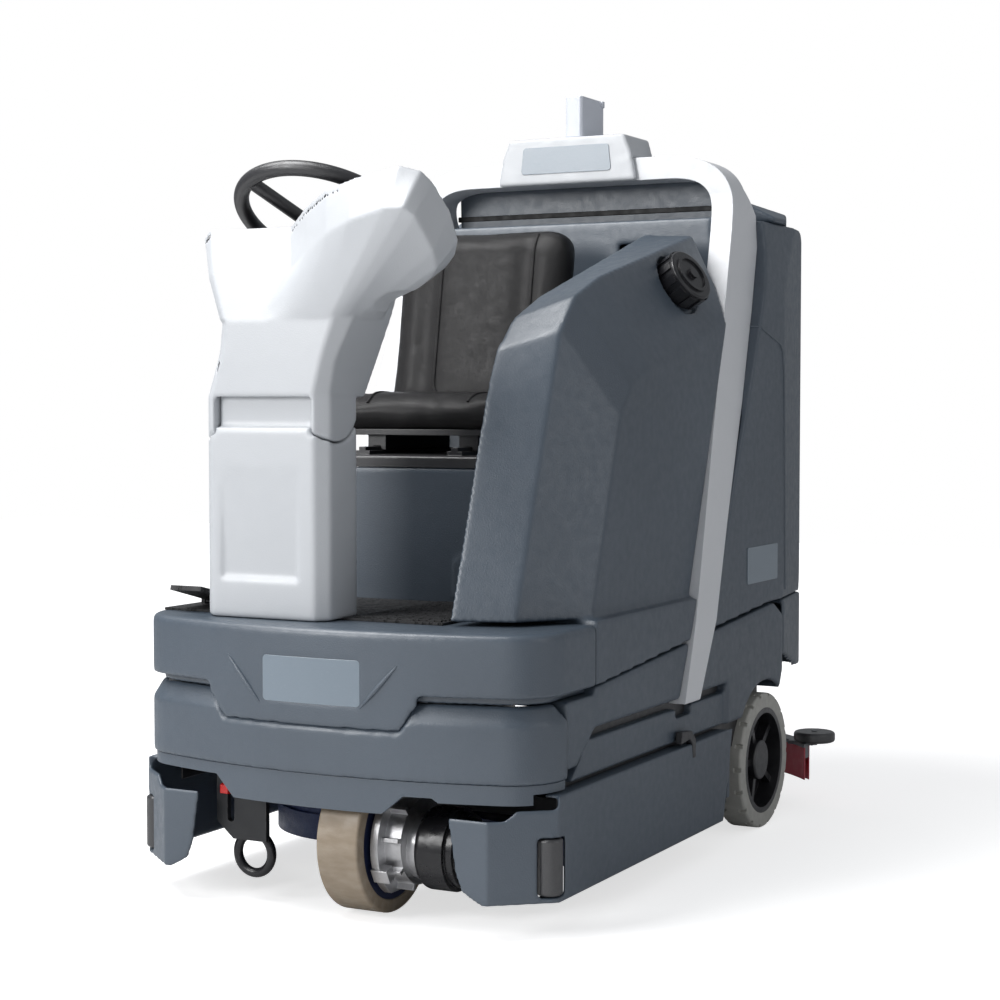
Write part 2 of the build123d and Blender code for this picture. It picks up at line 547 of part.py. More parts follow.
def hoop_pieces():
    """The hoop in three lengths, joined in the crossbar."""
    whole = hoop_body(0) - hoop_body(HOOP_WALL)
    left = whole & box(HOOP_JOINT, 600, -400, 500, 300, 1600)
    right = whole & box(-600, -HOOP_JOINT, -400, 500, 300, 1600)
    top = whole & box(-HOOP_JOINT, HOOP_JOINT, -400, 500, 300, 1600)
    return left, right, top


def hoop_plate():
    """Housing on the crossbar, with a shallow field for a label."""
    y0 = HOOP_PLATE_FRONT
    face = front([(-172, 1437), (172, 1437), (160, 1500), (143, 1542), (-143, 1542), (-160, 1500)], y0,
                 HOOP_FRONT - GAP, 6)
    cap = front([(-158, HOOP_TOP + GAP), (158, HOOP_TOP + GAP), (143, 1542), (-143, 1542)], y0 + 5, 330, 4)
    return face + cap


def beacon_post():
    """Square post for a warning light, with a socket in its top and a small lock at one corner."""
    post = box(-6, 36, 200, 320, 1542, 1633)
    post = chamfer(post.edges().filter_by(Axis.Z), 5)
    post -= rod((15, 260, 1603), (0, 0, 1), BEACON_R, 40)
    return post + box(36, 41, 300, 312, 1618, 1633)


# ---------------------------------------------------------------- tanks and body
NECK_R = 46.0
NECK_CENTRE = (349, -28, 1181)
NECK_AXIS = (0.8495, -0.1699, 0.4995)
CAP_R = 60.0
CAP_LUGS = 12


def along_neck(distance):
    """Point on the filler neck's axis, outwards from its foot."""
    return tuple(p + distance * c for p, c in zip(NECK_CENTRE, NECK_AXIS))


def wing_section(x, points, inset):
    """One section of the wing, flat at x, drawn in by an inset."""
    face = outline(points)
    return Plane.YZ.offset(x) * (offset(face, amount=-inset, kind=Kind.INTERSECTION) if inset else face)


def wing(inset):
    """The tank wing, drawn in from its outer skin by an inset."""
    low = FLOOR_Z + 8
    inner = [(-738, low), (-601, 951), (-557, 1045), (-486, 1108), (-379, 1153), (WING_REAR, 1312), (WING_REAR, low)]
    crease = [(-702, low), (-551, 986), (-517, 1082), (-452, 1151), (-339, 1194), (WING_REAR, 1305), (WING_REAR, low)]
    outer = [(-570, low), (-465, 861), (-445, 918), (-391, 980), (-305, 1014), (WING_REAR, 1120), (WING_REAR, low)]
    sections = [wing_section(WING_INNER + inset, inner, inset), wing_section(WING_CREASE, crease, inset),
                wing_section(WING_OUTER - inset, outer, inset)]
    return loft(sections[:2], ruled=True) + loft(sections[1:], ruled=True)


def solution_tank():
    """Hollow tank wing beside the driver, its sill, and the low reservoir that carries the recovery tank."""
    sill = side([(COVER_END + GAP, BELT_TOP_FRONT + GAP + 1), (COVER_END + GAP, FLOOR_Z + 8), (WING_REAR, FLOOR_Z + 8),
                 (WING_REAR, BELT_TOP_FRONT + 61)], RAIL_OUTER + GAP, HALF)
    foot = box(WING_INNER, HALF - 60, COVER_END + GAP, WING_REAR, FLOOR_Z - WALL, FLOOR_Z + 8)
    reservoir = box(-RAIL_OUTER, RAIL_OUTER, SEAT_BASE_REAR + GAP, BODY_REAR + 60, RAIL_TOP + GAP, TANK_BOTTOM - GAP)
    bridge = box(WING_INNER, RAIL_OUTER, WING_REAR - 60, SEAT_BASE_REAR + 40, RAIL_TOP + GAP, TANK_BOTTOM - GAP)
    bridge += box(WING_INNER, RAIL_OUTER, WING_REAR - 60, WING_REAR, TANK_BOTTOM - 20, FLOOR_Z + 8)
    tank = wing(0) + sill + foot + reservoir + bridge - behind_hoop(GAP)
    neck = pipe(NECK_CENTRE, NECK_AXIS, NECK_R + 6, NECK_R, 40)
    cup = rod(along_neck(-14), NECK_AXIS, CAP_R + 6 + WALL, 100) & wing(0)
    well = rod(along_neck(-90), NECK_AXIS, NECK_R, 140)
    seat = rod(NECK_CENTRE, NECK_AXIS, CAP_R + 6, 100)
    room = wing(1.5 * WALL) - behind_hoop(1.5 * WALL)
    room += box(WALL - RAIL_OUTER, RAIL_OUTER - WALL, SEAT_BASE_REAR + WALL, BODY_REAR + 60 - WALL,
                RAIL_TOP + WALL, TANK_BOTTOM - WALL)
    return tank - room + cup - seat + neck - well


def cap_seal():
    """Sealing ring that stays in the filler cap."""
    return pipe(along_neck(41), NECK_AXIS, NECK_R + 6, NECK_R - 6, 5)


def fill_cap():
    """Screw cap with broad grip lugs, a raised ring and a centre boss."""
    cap = Cylinder(CAP_R - 3, 46, align=UPRIGHT)
    cap = fillet(cap.edges().group_by(Axis.Z)[-1], 4)
    for i in range(CAP_LUGS):
        cap += Rot(Z=i * 360 / CAP_LUGS) * box(CAP_R - 10, CAP_R, -9, 9, 4, 38)
    cap += pipe((0, 0, 45), (0, 0, 1), 42, 36, 5)
    cap -= Pos(0, 0, -0.1) * Cylinder(NECK_R + 6.4, 32.5, align=UPRIGHT)
    cap += Pos(0, 0, 45) * Cylinder(12, 8, align=UPRIGHT)
    return Plane(origin=along_neck(14), z_dir=NECK_AXIS) * cap


def tank_profile(inset):
    """Side view of the recovery tank, drawn in from its outer skin by an inset."""
    return [(TANK_FRONT + inset, TANK_BOTTOM + inset), (TANK_FRONT + inset, TANK_TOP - inset),
            (TANK_FRONT + 420 - inset / 2, TANK_TOP - inset), (TANK_REAR_TOP - 45 - inset, TANK_TOP - 60 - inset / 2),
            (TANK_REAR_TOP - inset, TANK_TOP - 140), (TANK_REAR_TOP - inset, 1080),
            (TANK_REAR_BOTTOM - inset, TANK_BOTTOM + inset)]


def tank_plan(inset):
    """Plan of the recovery tank: its rear corners turn in."""
    half, rear = TANK_HALF - inset, TANK_REAR_TOP - inset
    turn = [(half, TANK_CORNER), (half - 35, TANK_REAR_BOTTOM + 4), (half - 135, rear)]
    return [(-half, TANK_FRONT + inset), (half, TANK_FRONT + inset)] + turn + [(-x, y) for x, y in turn[::-1]]


def tank_front(inset):
    """Front view of the recovery tank: its upper sides lean in."""
    half = TANK_HALF - inset
    rise = [(half, TANK_BOTTOM - 20), (half, TANK_TOP - 150), (half - 23, TANK_TOP + 20)]
    return rise + [(-x, z) for x, z in rise[::-1]]


def tank_body(inset):
    """The recovery tank's body, drawn in from its outer skin by an inset."""
    body = side(tank_profile(inset), -TANK_HALF, TANK_HALF) & plan(tank_plan(inset), TANK_BOTTOM, TANK_TOP)
    return body & front(tank_front(inset), TANK_FRONT, TANK_REAR_TOP)


def tank_cheek():
    """Left cheek of the recovery tank: it closes the body's side between the hoop's leg and the belt."""
    leg = [(y - 30, z) for y, z in HOOP_BEHIND[1:4]]
    seam = TANK_BOTTOM - BELT_TOP_REAR
    points = [(leg[0][0], belt_top(leg[0][0]) + seam), (BELT_CREST, TANK_BOTTOM), (BELT_CREST, TANK_BOTTOM + WALL),
              (TANK_FRONT + WALL, TANK_BOTTOM + WALL), (TANK_FRONT + WALL, leg[2][1])]
    return side(points + leg[::-1], TANK_HALF - 2 * WALL, TANK_HALF)


MOUTH = (-300.0, 300.0, LID_FRONT + 23.0, LID_FRONT + 248.0)
LID_REAR = TANK_FRONT + 420.0
LID_HINGE_Y = LID_REAR + 12.0
LID_HINGE_Z = TANK_TOP + 16.0
LID_EAR_X = 200.0
LID_EAR = 14.0
LID_PIN_R = 4.0
PORT_X = 150.0
PORT_Y = 655.0
PORT_Z = 640.0
PORT_LENGTH = 105.0


def lid_ear(x):
    """Hinge ear on the recovery tank's top, from x."""
    ear = rod((x, LID_HINGE_Y, LID_HINGE_Z), (1, 0, 0), 9, LID_EAR)
    ear += box(x, x + LID_EAR, LID_HINGE_Y - 8, LID_HINGE_Y + 8, TANK_TOP - 16, LID_HINGE_Z)
    return ear - rod((x - 1, LID_HINGE_Y, LID_HINGE_Z), (1, 0, 0), LID_PIN_R + FIT, LID_EAR + 2)


def recovery_tank():
    """Hollow recovery tank with a mouth in its top, and a dam round it."""
    hollow = tank_body(WALL) - hoop_leg_room(WALL)
    x0, x1, y0, y1 = MOUTH
    mouth = box(x0, x1, y0, y1, TANK_TOP - 3 * WALL, TANK_TOP + 20)
    dam = box(x0 - 6, x1 + 6, y0 - 6, y1 + 6, TANK_TOP - GAP, TANK_TOP + 12)
    handhold = front([(120, 1300), (290, 1300), (300, 1200), (140, 1200)], TANK_FRONT - 1, TANK_FRONT + 4, 12)
    tank = tank_body(0) + both(tank_cheek()) - hollow + dam - mouth - handhold
    tank += both(lid_ear(LID_EAR_X) + lid_ear(LID_EAR_X + 44))
    tank -= rod((-PORT_X, PORT_Y, PORT_Z), (0, 1, 0), SUCTION_R + GAP / 2, 60)
    tank -= rod((PORT_X, PORT_Y, PORT_Z), (0, 1, 0), DRAIN_R + GAP / 2, 60)
    return tank - hoop_leg_room(GAP)


def tank_lid():
    """Lid of the recovery tank: a shallow cover that drops over the dam, with hinge knuckles at the rear."""
    low, top = TANK_TOP + GAP, TANK_TOP + LID_THICKNESS
    lid = side([(LID_FRONT, low), (LID_FRONT, top), (LID_FRONT + 28, top + 16), (LID_REAR - 10, top - 14),
                (LID_REAR, low)], -LID_HALF, LID_HALF)
    rim = [(LID_FRONT_HALF, LID_FRONT), (LID_FRONT_HALF + 25, LID_FRONT + 80), (LID_HALF, LID_FRONT + 90),
           (LID_HALF, TANK_CORNER + 50), (LID_HALF - 50, LID_REAR)]
    lid &= plan(rim + [(-x, y) for x, y in rim[::-1]], TANK_TOP, TANK_TOP + 100)
    crown = [(LID_HALF, low), (LID_HALF, TANK_TOP + 12), (LID_FRONT_HALF, top + 16)]
    lid &= front(crown + [(-x, z) for x, z in crown[::-1]], LID_FRONT - 10, LID_REAR + 10)
    x0, x1, y0, y1 = MOUTH
    lid -= box(x0 - 9, x1 + 9, y0 - 9, y1 + 9, TANK_TOP, TANK_TOP + LID_THICKNESS - 24)
    start = LID_EAR_X + LID_EAR + 0.3
    length = 44 - LID_EAR - 0.6
    knuckle = rod((start, LID_HINGE_Y, LID_HINGE_Z), (1, 0, 0), 9, length)
    knuckle += box(start, start + length, LID_REAR - 16, LID_HINGE_Y, LID_HINGE_Z - 5, LID_HINGE_Z + 5)
    knuckle += rod((LID_EAR_X, LID_HINGE_Y, LID_HINGE_Z), (1, 0, 0), LID_PIN_R, 44 + LID_EAR)
    return lid + both(knuckle)


# ---------------------------------------------------------------- steering column
def column_plan(half, front_half, y0, y1):
    """Plan of the column: a flat front between two bevels."""
    bevel = half - front_half
    return [(COLUMN_X - front_half, y0), (COLUMN_X + front_half, y0), (COLUMN_X + half, y0 + bevel),
            (COLUMN_X + half, y1 - 20), (COLUMN_X + half - 20, y1), (COLUMN_X - half + 20, y1),
            (COLUMN_X - half, y1 - 20), (COLUMN_X - half, y0 + bevel)]


def column_base():
    """Fixed lower column with a shallow front field and a round core between the head's cheeks."""
    y0, y1 = COLUMN_FRONT_Y, COLUMN_FRONT_Y + COLUMN_DEPTH
    shoulder = TILT_Z - 50
    body = plan(column_plan(COLUMN_HALF, COLUMN_FRONT_HALF, y0, y1), FLOOR_Z + GAP, shoulder)
    notch = rod((COLUMN_X - HALF, TILT_Y, TILT_Z), (1, 0, 0), CHEEK_R + CLEAR, 2 * HALF)
    notch -= box(COLUMN_X - CORE_HALF, COLUMN_X + CORE_HALF, y0 - 100, y1 + 100, FLOOR_Z, TILT_Z + 100)
    core = box(COLUMN_X - CORE_HALF, COLUMN_X + CORE_HALF, y0 + CORE_SETBACK, y1, TILT_Z - 70, TILT_Z + 35)
    core &= rod((COLUMN_X - CORE_HALF, TILT_Y, TILT_Z), (1, 0, 0), TILT_R, 2 * CORE_HALF)
    field = side([(y0 - 1, FIELD_Z), (y0 + 6, FIELD_Z), (y0 + 6, FIELD_Z + 20), (y0, FIELD_Z + 215),
                  (y0 - 1, FIELD_Z + 215)], COLUMN_X - 94, COLUMN_X + 82)
    pivot = rod((COLUMN_X - TILT_PIN_HALF, TILT_Y, TILT_Z), (1, 0, 0), TILT_PIN_R, 2 * TILT_PIN_HALF)
    room = plan(column_plan(COLUMN_HALF - WALL, COLUMN_FRONT_HALF - WALL, y0 + 2 * WALL, y1 - WALL), FLOOR_Z,
                shoulder - 40)
    return body - notch + core - field - room + pivot


# The control tray as the driver sees it: (to the right, up the tray) from its origin, at its rim and at the foot of
# the band below the rim.
TRAY_RIM = [(340, 0), (315, 21), (129, 21), (76, 65), (17, 102), (-55, 125), (-157, 148), (-199, 132), (-212, 104),
            (-220, 36), (-210, -32), (-191, -65), (-160, -95), (-120, -116), (-79, -137), (-15, -155), (60, -185),
            (312, -185)]
TRAY_BAND = [(300, -30), (286, -15), (102, -10), (52, 28), (-8, 68), (-70, 98), (-155, 122), (-192, 122), (-208, 100),
             (-213, 20), (-203, -22), (-182, -45), (-152, -65), (-114, -82), (-75, -98), (-12, -108), (60, -112),
             (290, -112)]
# The neck's waist, in plan, with a point for each point of the band.
WAIST_Z = 1100.0
WAIST = [(-264, -771), (-240, -795), (-160, -795), (-110, -795), (-60, -795), (-20, -795), (-4, -795), (10, -786),
         (20, -776), (26, -750), (26, -735), (26, -715), (26, -695), (26, -675), (26, -655), (26, -630), (-100, -630),
         (-264, -630)]
# The neck below the tray: height, right side, front crease, and (x, y) of the left crease, then its rear.
NECK_SECTIONS = [(LIP_Z, -293, -43, (-20, -771), -645), (1020, -272, -26, (-6, -775), -626),
                 (1045, -265, -18, (4, -773), -626), (1096, -259, 2, (28, -769), -632),
                 (1137, -264, 17, (47, -765), -639), (1165, -273, 32, (66, -761), -664)]
SCOOP = (130, -1000, 1060)  # hollow under the tray's lobe, a cylinder along the machine
SCOOP_R = 90.0


def tray_plane(depth=0.0):
    """The control tray's opening as the driver sees it, moved down into the tray by a depth."""
    origin = tuple(p - depth * n for p, n in zip(TRAY_ORIGIN, TRAY_NORMAL))
    return Plane(origin=origin, x_dir=(-1, 0, 0), z_dir=TRAY_NORMAL)


def tray_solid(inset, top, bottom):
    """The tray's outline, drawn in by an inset, between two depths."""
    face = offset(outline(TRAY_RIM), amount=-inset, kind=Kind.INTERSECTION)
    return extrude(tray_plane(bottom) * face, amount=bottom - top)


def tray_shell():
    """The tray's outer body: the band under its rim, and the flare that joins it to the neck."""
    foot = tray_plane(TRAY_DEPTH) * outline(TRAY_BAND)
    flare = loft([Pos(0, 0, WAIST_Z) * outline(WAIST), foot], ruled=True)
    flare -= rod(SCOOP, (0, 1, 0), SCOOP_R, 600)
    return loft([tray_plane(0) * outline(TRAY_RIM), foot], ruled=True) + flare


def neck_section(z, right, crease, corner, rear):
    """One horizontal section of the head's neck, with bevelled front corners."""
    bevel = COLUMN_HALF - COLUMN_FRONT_HALF
    y0 = COLUMN_FRONT_Y
    return Pos(0, 0, z) * outline([(right, rear), (right, y0 + bevel), (right + bevel, y0), (crease, y0), corner,
                                   (corner[0], rear)])


def column_head():
    """Tilting upper column: cheeks, neck and the control tray that faces the driver."""
    y0, y1 = COLUMN_FRONT_Y, COLUMN_FRONT_Y + COLUMN_DEPTH
    neck = loft([neck_section(*section) for section in NECK_SECTIONS], ruled=True)
    cheeks = rod((COLUMN_X - COLUMN_HALF, TILT_Y, TILT_Z), (1, 0, 0), CHEEK_R, 2 * COLUMN_HALF)
    cheeks += side([(y0, TILT_Z - 56), (y0, LIP_Z + 1), (y1 + 10, LIP_Z + 1), (y1 - 17, TILT_Z - 38)],
                   COLUMN_X - COLUMN_HALF, COLUMN_X + COLUMN_HALF)
    cheeks &= plan(column_plan(COLUMN_HALF, COLUMN_FRONT_HALF, y0, y1), TILT_Z - 100, LIP_Z + 1)
    core = CORE_HALF + CLEAR / 2
    core_room = rod((COLUMN_X - core, TILT_Y, TILT_Z), (1, 0, 0), TILT_R + CLEAR, 2 * core)
    core_room &= box(-HALF, HALF, y0 + 7, 0, 0, TILT_Z + 100)
    core_room += box(COLUMN_X - core, COLUMN_X + core, y0 - 50, y1 + 50, TILT_Z - 120, LIP_Z)
    pivot = rod((COLUMN_X - TILT_PIN_HALF - 1, TILT_Y, TILT_Z), (1, 0, 0), TILT_PIN_R + FIT, 2 * TILT_PIN_HALF + 2)
    pocket = tray_solid(TRAY_WALL, -5, TRAY_POCKET)
    shaft = rod(WHEEL_CENTRE, tuple(-c for c in WHEEL_NORMAL), STEERING_SHAFT_R + FIT, 260)
    return neck + cheeks + tray_shell() - core_room - pivot - pocket - shaft


# Controls on the panel, as the driver sees them: to the right, up the panel, radius and height.
STOP_AT = (-165, 75, 15.0, 26.0)
START_AT = (-170, 10, 11.0, 14.0)
KEY_AT = (-150, -50, 9.0, 22.0)
CONTROL_FOOT = 8.0          # depth that each control reaches below the panel


def control_panel():
    """Panel set in the tray, with a raised screen and openings for its controls."""
    panel = tray_solid(TRAY_WALL + GAP, 6, TRAY_POCKET - GAP / 2) & tray_plane(0) * box(-400, 400, -400, 400, -30, 0)
    panel += tray_plane(0) * box(-110, 20, -35, 55, -7, 0)
    for s, t, r, _ in (STOP_AT, START_AT, KEY_AT):
        panel -= tray_plane(0) * Pos(s, t, -30) * Cylinder(r + FIT, 60, align=UPRIGHT)
    return panel - rod(WHEEL_CENTRE, tuple(-c for c in WHEEL_NORMAL), 2 * STEERING_SHAFT_R, 260)


def control_post(place, height):
    """Round foot of a control, up through the panel to a height over the tray's rim."""
    s, t, r, _ = place
    foot = Pos(s, t, -CONTROL_FOOT) * Cylinder(r, CONTROL_FOOT + height, align=UPRIGHT)
    return tray_plane(0) * foot


def stop_button():
    """Mushroom stop button."""
    s, t, r, h = STOP_AT
    head = Pos(s, t, 10) * Cylinder(r + 6, h - 10, align=UPRIGHT)
    return control_post(STOP_AT, 12) + tray_plane(0) * fillet(head.edges().group_by(Axis.Z)[-1], 5)


def start_button():
    """One-touch start button."""
    return control_post(START_AT, START_AT[3] - 8)


def key_switch():
    """Key switch: a round barrel with a flat key in it."""
    s, t, _, h = KEY_AT
    key = box(s - 2, s + 2, t - 11, t + 11, -2, h)
    return control_post(KEY_AT, 0) + tray_plane(0) * key


def steering_wheel():
    """Steering wheel: rim, three raked spokes with their pads, hub and shaft."""
    place = Plane(origin=WHEEL_CENTRE, x_dir=(1, 0, 0), z_dir=WHEEL_NORMAL)
    rim_r = STEERING_RIM / 2
    reach = STEERING_R - rim_r
    wheel = Torus(reach, rim_r)
    for turn in (30, 150, 270):
        spoke = Plane(origin=(30, 0, -24), z_dir=(reach - 30, 0, 24)) * Cylinder(SPOKE_R, reach - 25, align=UPRIGHT)
        wheel += Rot(Z=turn) * spoke
    hub = Pos(0, 0, -42) * Cylinder(44, 42, align=UPRIGHT)
    wheel += fillet(hub.edges(), 8)
    wheel += Pos(0, 0, -180) * Cylinder(STEERING_SHAFT_R, 142, align=UPRIGHT)
    return place * Rot(Z=STEERING_TURN) * wheel


def accelerator_pedal():
    """Ribbed pedal pad on a heel hinge."""
    x0, x1 = PEDAL_X - PEDAL_HALF, PEDAL_X + PEDAL_HALF
    profile = [(-126, 26), (-123, 35), (0, 6), (4, -8), (-8, -8), (-8, -4)]
    pad = side([(PEDAL_Y + y, PEDAL_Z + z) for y, z in profile], x0, x1)
    slope = 29 / 123
    for i in range(6):
        y = PEDAL_Y - 111 + i * 19
        z = PEDAL_Z + 32 - (y - PEDAL_Y + 123) * slope
        pad += side([(y - 3, z - 4), (y + 3, z - 4), (y + 3, z + 3), (y - 3, z + 3)], x0 + 5, x1 - 5)
    pin = rod((x0 - 12, PEDAL_Y, PEDAL_Z), (1, 0, 0), PEDAL_PIN_R, x1 - x0 + 24)
    return pad + pin


def floor_mat():
    """Ribbed rubber mat round the foot of the column, with the pedal's hinge ears."""
    mat = box(-HALF + 14, SEAT_BASE_LEFT - 2, COLUMN_FRONT_Y + 60, SEAT_BASE_FRONT - 2, FLOOR_Z + 0.2, FLOOR_Z + 5)
    for i in range(22):
        y = COLUMN_FRONT_Y + 72 + i * 15
        mat += box(COLUMN_X + COLUMN_HALF + 20, SEAT_BASE_LEFT - 12, y, y + 7, FLOOR_Z + 4, FLOOR_Z + 7.5)
    foot = column_plan(COLUMN_HALF + 1, COLUMN_FRONT_HALF + 1, COLUMN_FRONT_Y - 1, COLUMN_FRONT_Y + COLUMN_DEPTH + 1)
    ear = box(PEDAL_HALF + 2, PEDAL_HALF + 10, -10, 8, FLOOR_Z + 4 - PEDAL_Z, 8)
    ears = Pos(PEDAL_X, PEDAL_Y, PEDAL_Z) * both(ear)
    ears -= rod((PEDAL_X - 60, PEDAL_Y, PEDAL_Z), (1, 0, 0), PEDAL_PIN_R + FIT, 120)
    return mat - plan(foot, FLOOR_Z, FLOOR_Z + 10) + ears


# ---------------------------------------------------------------- seat
HINGE_Y = SEAT_BASE_FRONT - 6.0
HINGE_Z = SEAT_DECK_Z - 4.0
HINGE_R = 5.0
HINGE_XS = (-400.0, 165.0)
LEG_SIDE = 358.0            # the deck passes the hoop's leg at this distance from the centre line


def seat_base():
    """Box under the seat, open above and below, with the fixed hinge barrels."""
    x0 = -HALF + 4
    shell = box(x0, SEAT_BASE_LEFT, SEAT_BASE_FRONT, SEAT_BASE_REAR, BELT_TOP_REAR, SEAT_DECK_Z - GAP)
    shell -= box(x0 + WALL, SEAT_BASE_LEFT - WALL, SEAT_BASE_FRONT + WALL, SEAT_BASE_REAR - WALL, 400, 900)
    skirt = box(x0, x0 + WALL, SEAT_BASE_FRONT, SEAT_BASE_REAR, BELT_TOP_REAR - 8, BELT_TOP_REAR)
    panel = front([(30, 556), (185, 556), (185, 640), (45, 640), (30, 625)], SEAT_BASE_FRONT - 3, SEAT_BASE_FRONT + 2)
    base = shell + skirt + panel
    for x in HINGE_XS:
        barrel = rod((x, HINGE_Y, HINGE_Z), (1, 0, 0), HINGE_R, 14)
        barrel += box(x, x + 14, HINGE_Y - 2, SEAT_BASE_FRONT + 1, HINGE_Z - 22, HINGE_Z)
        base += barrel - rod((x - 1, HINGE_Y, HINGE_Z), (1, 0, 0), 2.5 + FIT, 20)
    return base - behind_hoop(2 * GAP)


def seat_deck():
    """Plate that carries the seat and tilts forward, with its hinge leaves and the fixed seat rails."""
    x0 = -HALF + 4
    deck = box(x0, SEAT_BASE_LEFT, SEAT_BASE_FRONT, SEAT_BASE_REAR - 40, SEAT_DECK_Z, SEAT_DECK_TOP)
    deck = fillet(deck.edges().group_by(Axis.Z)[-1], 6)
    for x in HINGE_XS:
        leaf = rod((x + 14.3, HINGE_Y, HINGE_Z), (1, 0, 0), HINGE_R, 14)
        leaf += box(x + 14.3, x + 28.3, HINGE_Y - 4, HINGE_Y + 1, HINGE_Z, SEAT_DECK_Z + 14)
        leaf += box(x + 14.3, x + 28.3, HINGE_Y - 4, SEAT_BASE_FRONT + 4, SEAT_DECK_Z + 4, SEAT_DECK_Z + 14)
        deck += leaf + rod((x, HINGE_Y, HINGE_Z), (1, 0, 0), 2.5, 20)
    for x in (SEAT_X - 110, SEAT_X + 110):
        deck += box(x - 18, x + 18, RAIL_START, RAIL_END, SEAT_DECK_TOP - 1, SEAT_DECK_TOP + 8)
        deck += box(x - 8, x + 8, RAIL_START, RAIL_END, SEAT_DECK_TOP + 7, SEAT_DECK_TOP + 16)
    return deck - box(-HALF, -LEG_SIDE, -15, SEAT_BASE_REAR, SEAT_DECK_Z - 5, SEAT_DECK_TOP + 5)


SEAT_FRONT = -295.0
BACK_LEAN = 0.1352          # the backrest leans back by this slope
RUNNER_START = -260.0
RUNNER_END = 20.0
SEAT_FORWARD = 60.0         # travel of the seat on its rails
SEAT_BACKWARD = 20.0
RAIL_START = RUNNER_START - SEAT_FORWARD
RAIL_END = RUNNER_END + SEAT_BACKWARD
SEAT_PAN_Z = SEAT_DECK_TOP + 40.0
SEAT_PAN = 13.0             # thickness of the seat pan
CUSHION_Z = SEAT_PAN_Z + SEAT_PAN + SOFT_GAP


def back_line(z):
    """Front of the back shell at a height, which the backrest lies on."""
    return 68.0 + BACK_LEAN * (z - 900)


def seat_shell():
    """Seat pan and back shell on sliding runners."""
    half = SEAT_WIDTH / 2 - 14
    x0, x1 = SEAT_X - half, SEAT_X + half
    pan = box(x0, x1, SEAT_FRONT + 22, SEAT_FRONT + 330, SEAT_PAN_Z, SEAT_PAN_Z + SEAT_PAN)
    shell = pan + side([(10, SEAT_PAN_Z + 2), (84, SEAT_PAN_Z + 24), (135, 1288), (back_line(1292), 1292),
                        (back_line(920), 920), (10, SEAT_PAN_Z + SEAT_PAN - 2)], x0 + 20, x1 - 20)
    for x in (SEAT_X - 110, SEAT_X + 110):
        runner = box(x - 22, x + 22, RUNNER_START, RUNNER_END, SEAT_DECK_TOP + 8 + 0.4, SEAT_PAN_Z + 4)
        runner -= box(x - 8.3, x + 8.3, RUNNER_START - 1, RUNNER_END + 1, SEAT_DECK_TOP + 6, SEAT_DECK_TOP + 16.4)
        shell += runner
    return shell


def seat_cushion():
    """Seat cushion, a closed block with soft corners."""
    half = SEAT_WIDTH / 2
    z1 = CUSHION_Z + 72
    points = [(SEAT_FRONT, CUSHION_Z), (SEAT_FRONT, z1 - 10), (SEAT_FRONT + 60, z1), (-18, z1 - 18), (-18, CUSHION_Z)]
    block = side(points, SEAT_X - half, SEAT_X + half)
    upper = [e for e in block.edges().filter_by(Axis.X) if e.center().Z > z1 - 12 and e.center().Y < -30]
    return fillet(upper, 12)


def seat_back():
    """Backrest, a closed slab that leans back."""
    half = SEAT_WIDTH / 2
    rear = back_line(925) - SOFT_GAP, back_line(1300) - SOFT_GAP
    points = [(-16, 925), (0, 915), (rear[0], 925), (rear[1], 1300), (108, 1330), (60, 1330), (48, 1310)]
    slab = side(points, SEAT_X - half, SEAT_X + half)
    corners = front([(SEAT_X - half, 900), (SEAT_X + half, 900), (SEAT_X + half, 1330), (SEAT_X - half, 1330)], -100, 200, 46)
    return slab & corners


# ---------------------------------------------------------------- brush deck
DECK_Z = 150.0
DECK_FRONT = BRUSH_Y - BRUSH_R - 6.0
DECK_REAR = BRUSH_Y + BRUSH_R + 106.0
DECK_HALF = 424.0
DECK_GUIDE_X = 120.0
DECK_GUIDE_Y = DECK_REAR - 20.0
SKIRT_REAR = DECK_REAR + 34.0
SKIRT_HINGE = (SKIRT_HALF - 20.0, SKIRT_REAR - 16.0)
SKIRT_EAR_LOW = 96.0        # heights of the skirt's hinge ears
SKIRT_EAR_HIGH = 196.0
HINGE_PIN_R = 5.0
ROLLER_AT = (SKIRT_HALF - 22.0, DRIVE_Y - 32.0)


def brush_deck():
    """Deck plate with two brush motors, lift guides and the skirts' hinge ears."""
    deck = box(-DECK_HALF, DECK_HALF, DECK_FRONT, DECK_REAR, DECK_Z, DECK_Z + PLATE)
    deck += box(-DECK_HALF, DECK_HALF, DECK_FRONT, DECK_FRONT + 6, DECK_Z, DECK_Z + 40)
    deck += box(-DECK_HALF, DECK_HALF, DECK_REAR - 6, DECK_REAR, DECK_Z, DECK_Z + 40)
    for x in (-BRUSH_X, BRUSH_X):
        deck += rod((x, BRUSH_Y, DECK_Z + PLATE), (0, 0, 1), 62, 92)
        deck += rod((x, BRUSH_Y, BRISTLE_Z + 56), (0, 0, 1), 12, DECK_Z - BRISTLE_Z - 56)
    guides = both(box(DECK_GUIDE_X - 20, DECK_GUIDE_X + 20, DECK_GUIDE_Y, DECK_GUIDE_Y + 10, DECK_Z, RAIL_Z - 12))
    hx, hy = SKIRT_HINGE
    ears = None
    for z in (SKIRT_EAR_LOW, SKIRT_EAR_HIGH):
        ear = box(DECK_HALF - 60, hx, DECK_REAR - 40, hy, z, z + PLATE) + rod((hx, hy, z), (0, 0, 1), 11, PLATE)
        ear += box(DECK_HALF - 60, DECK_HALF - 44, DECK_REAR - 40, DECK_REAR - 20, min(z, DECK_Z), max(z + PLATE, DECK_Z))
        ears = ear if ears is None else ears + ear
    ears -= rod((hx, hy, 0), (0, 0, 1), HINGE_PIN_R + FIT, 400)
    return deck + guides + both(ears)


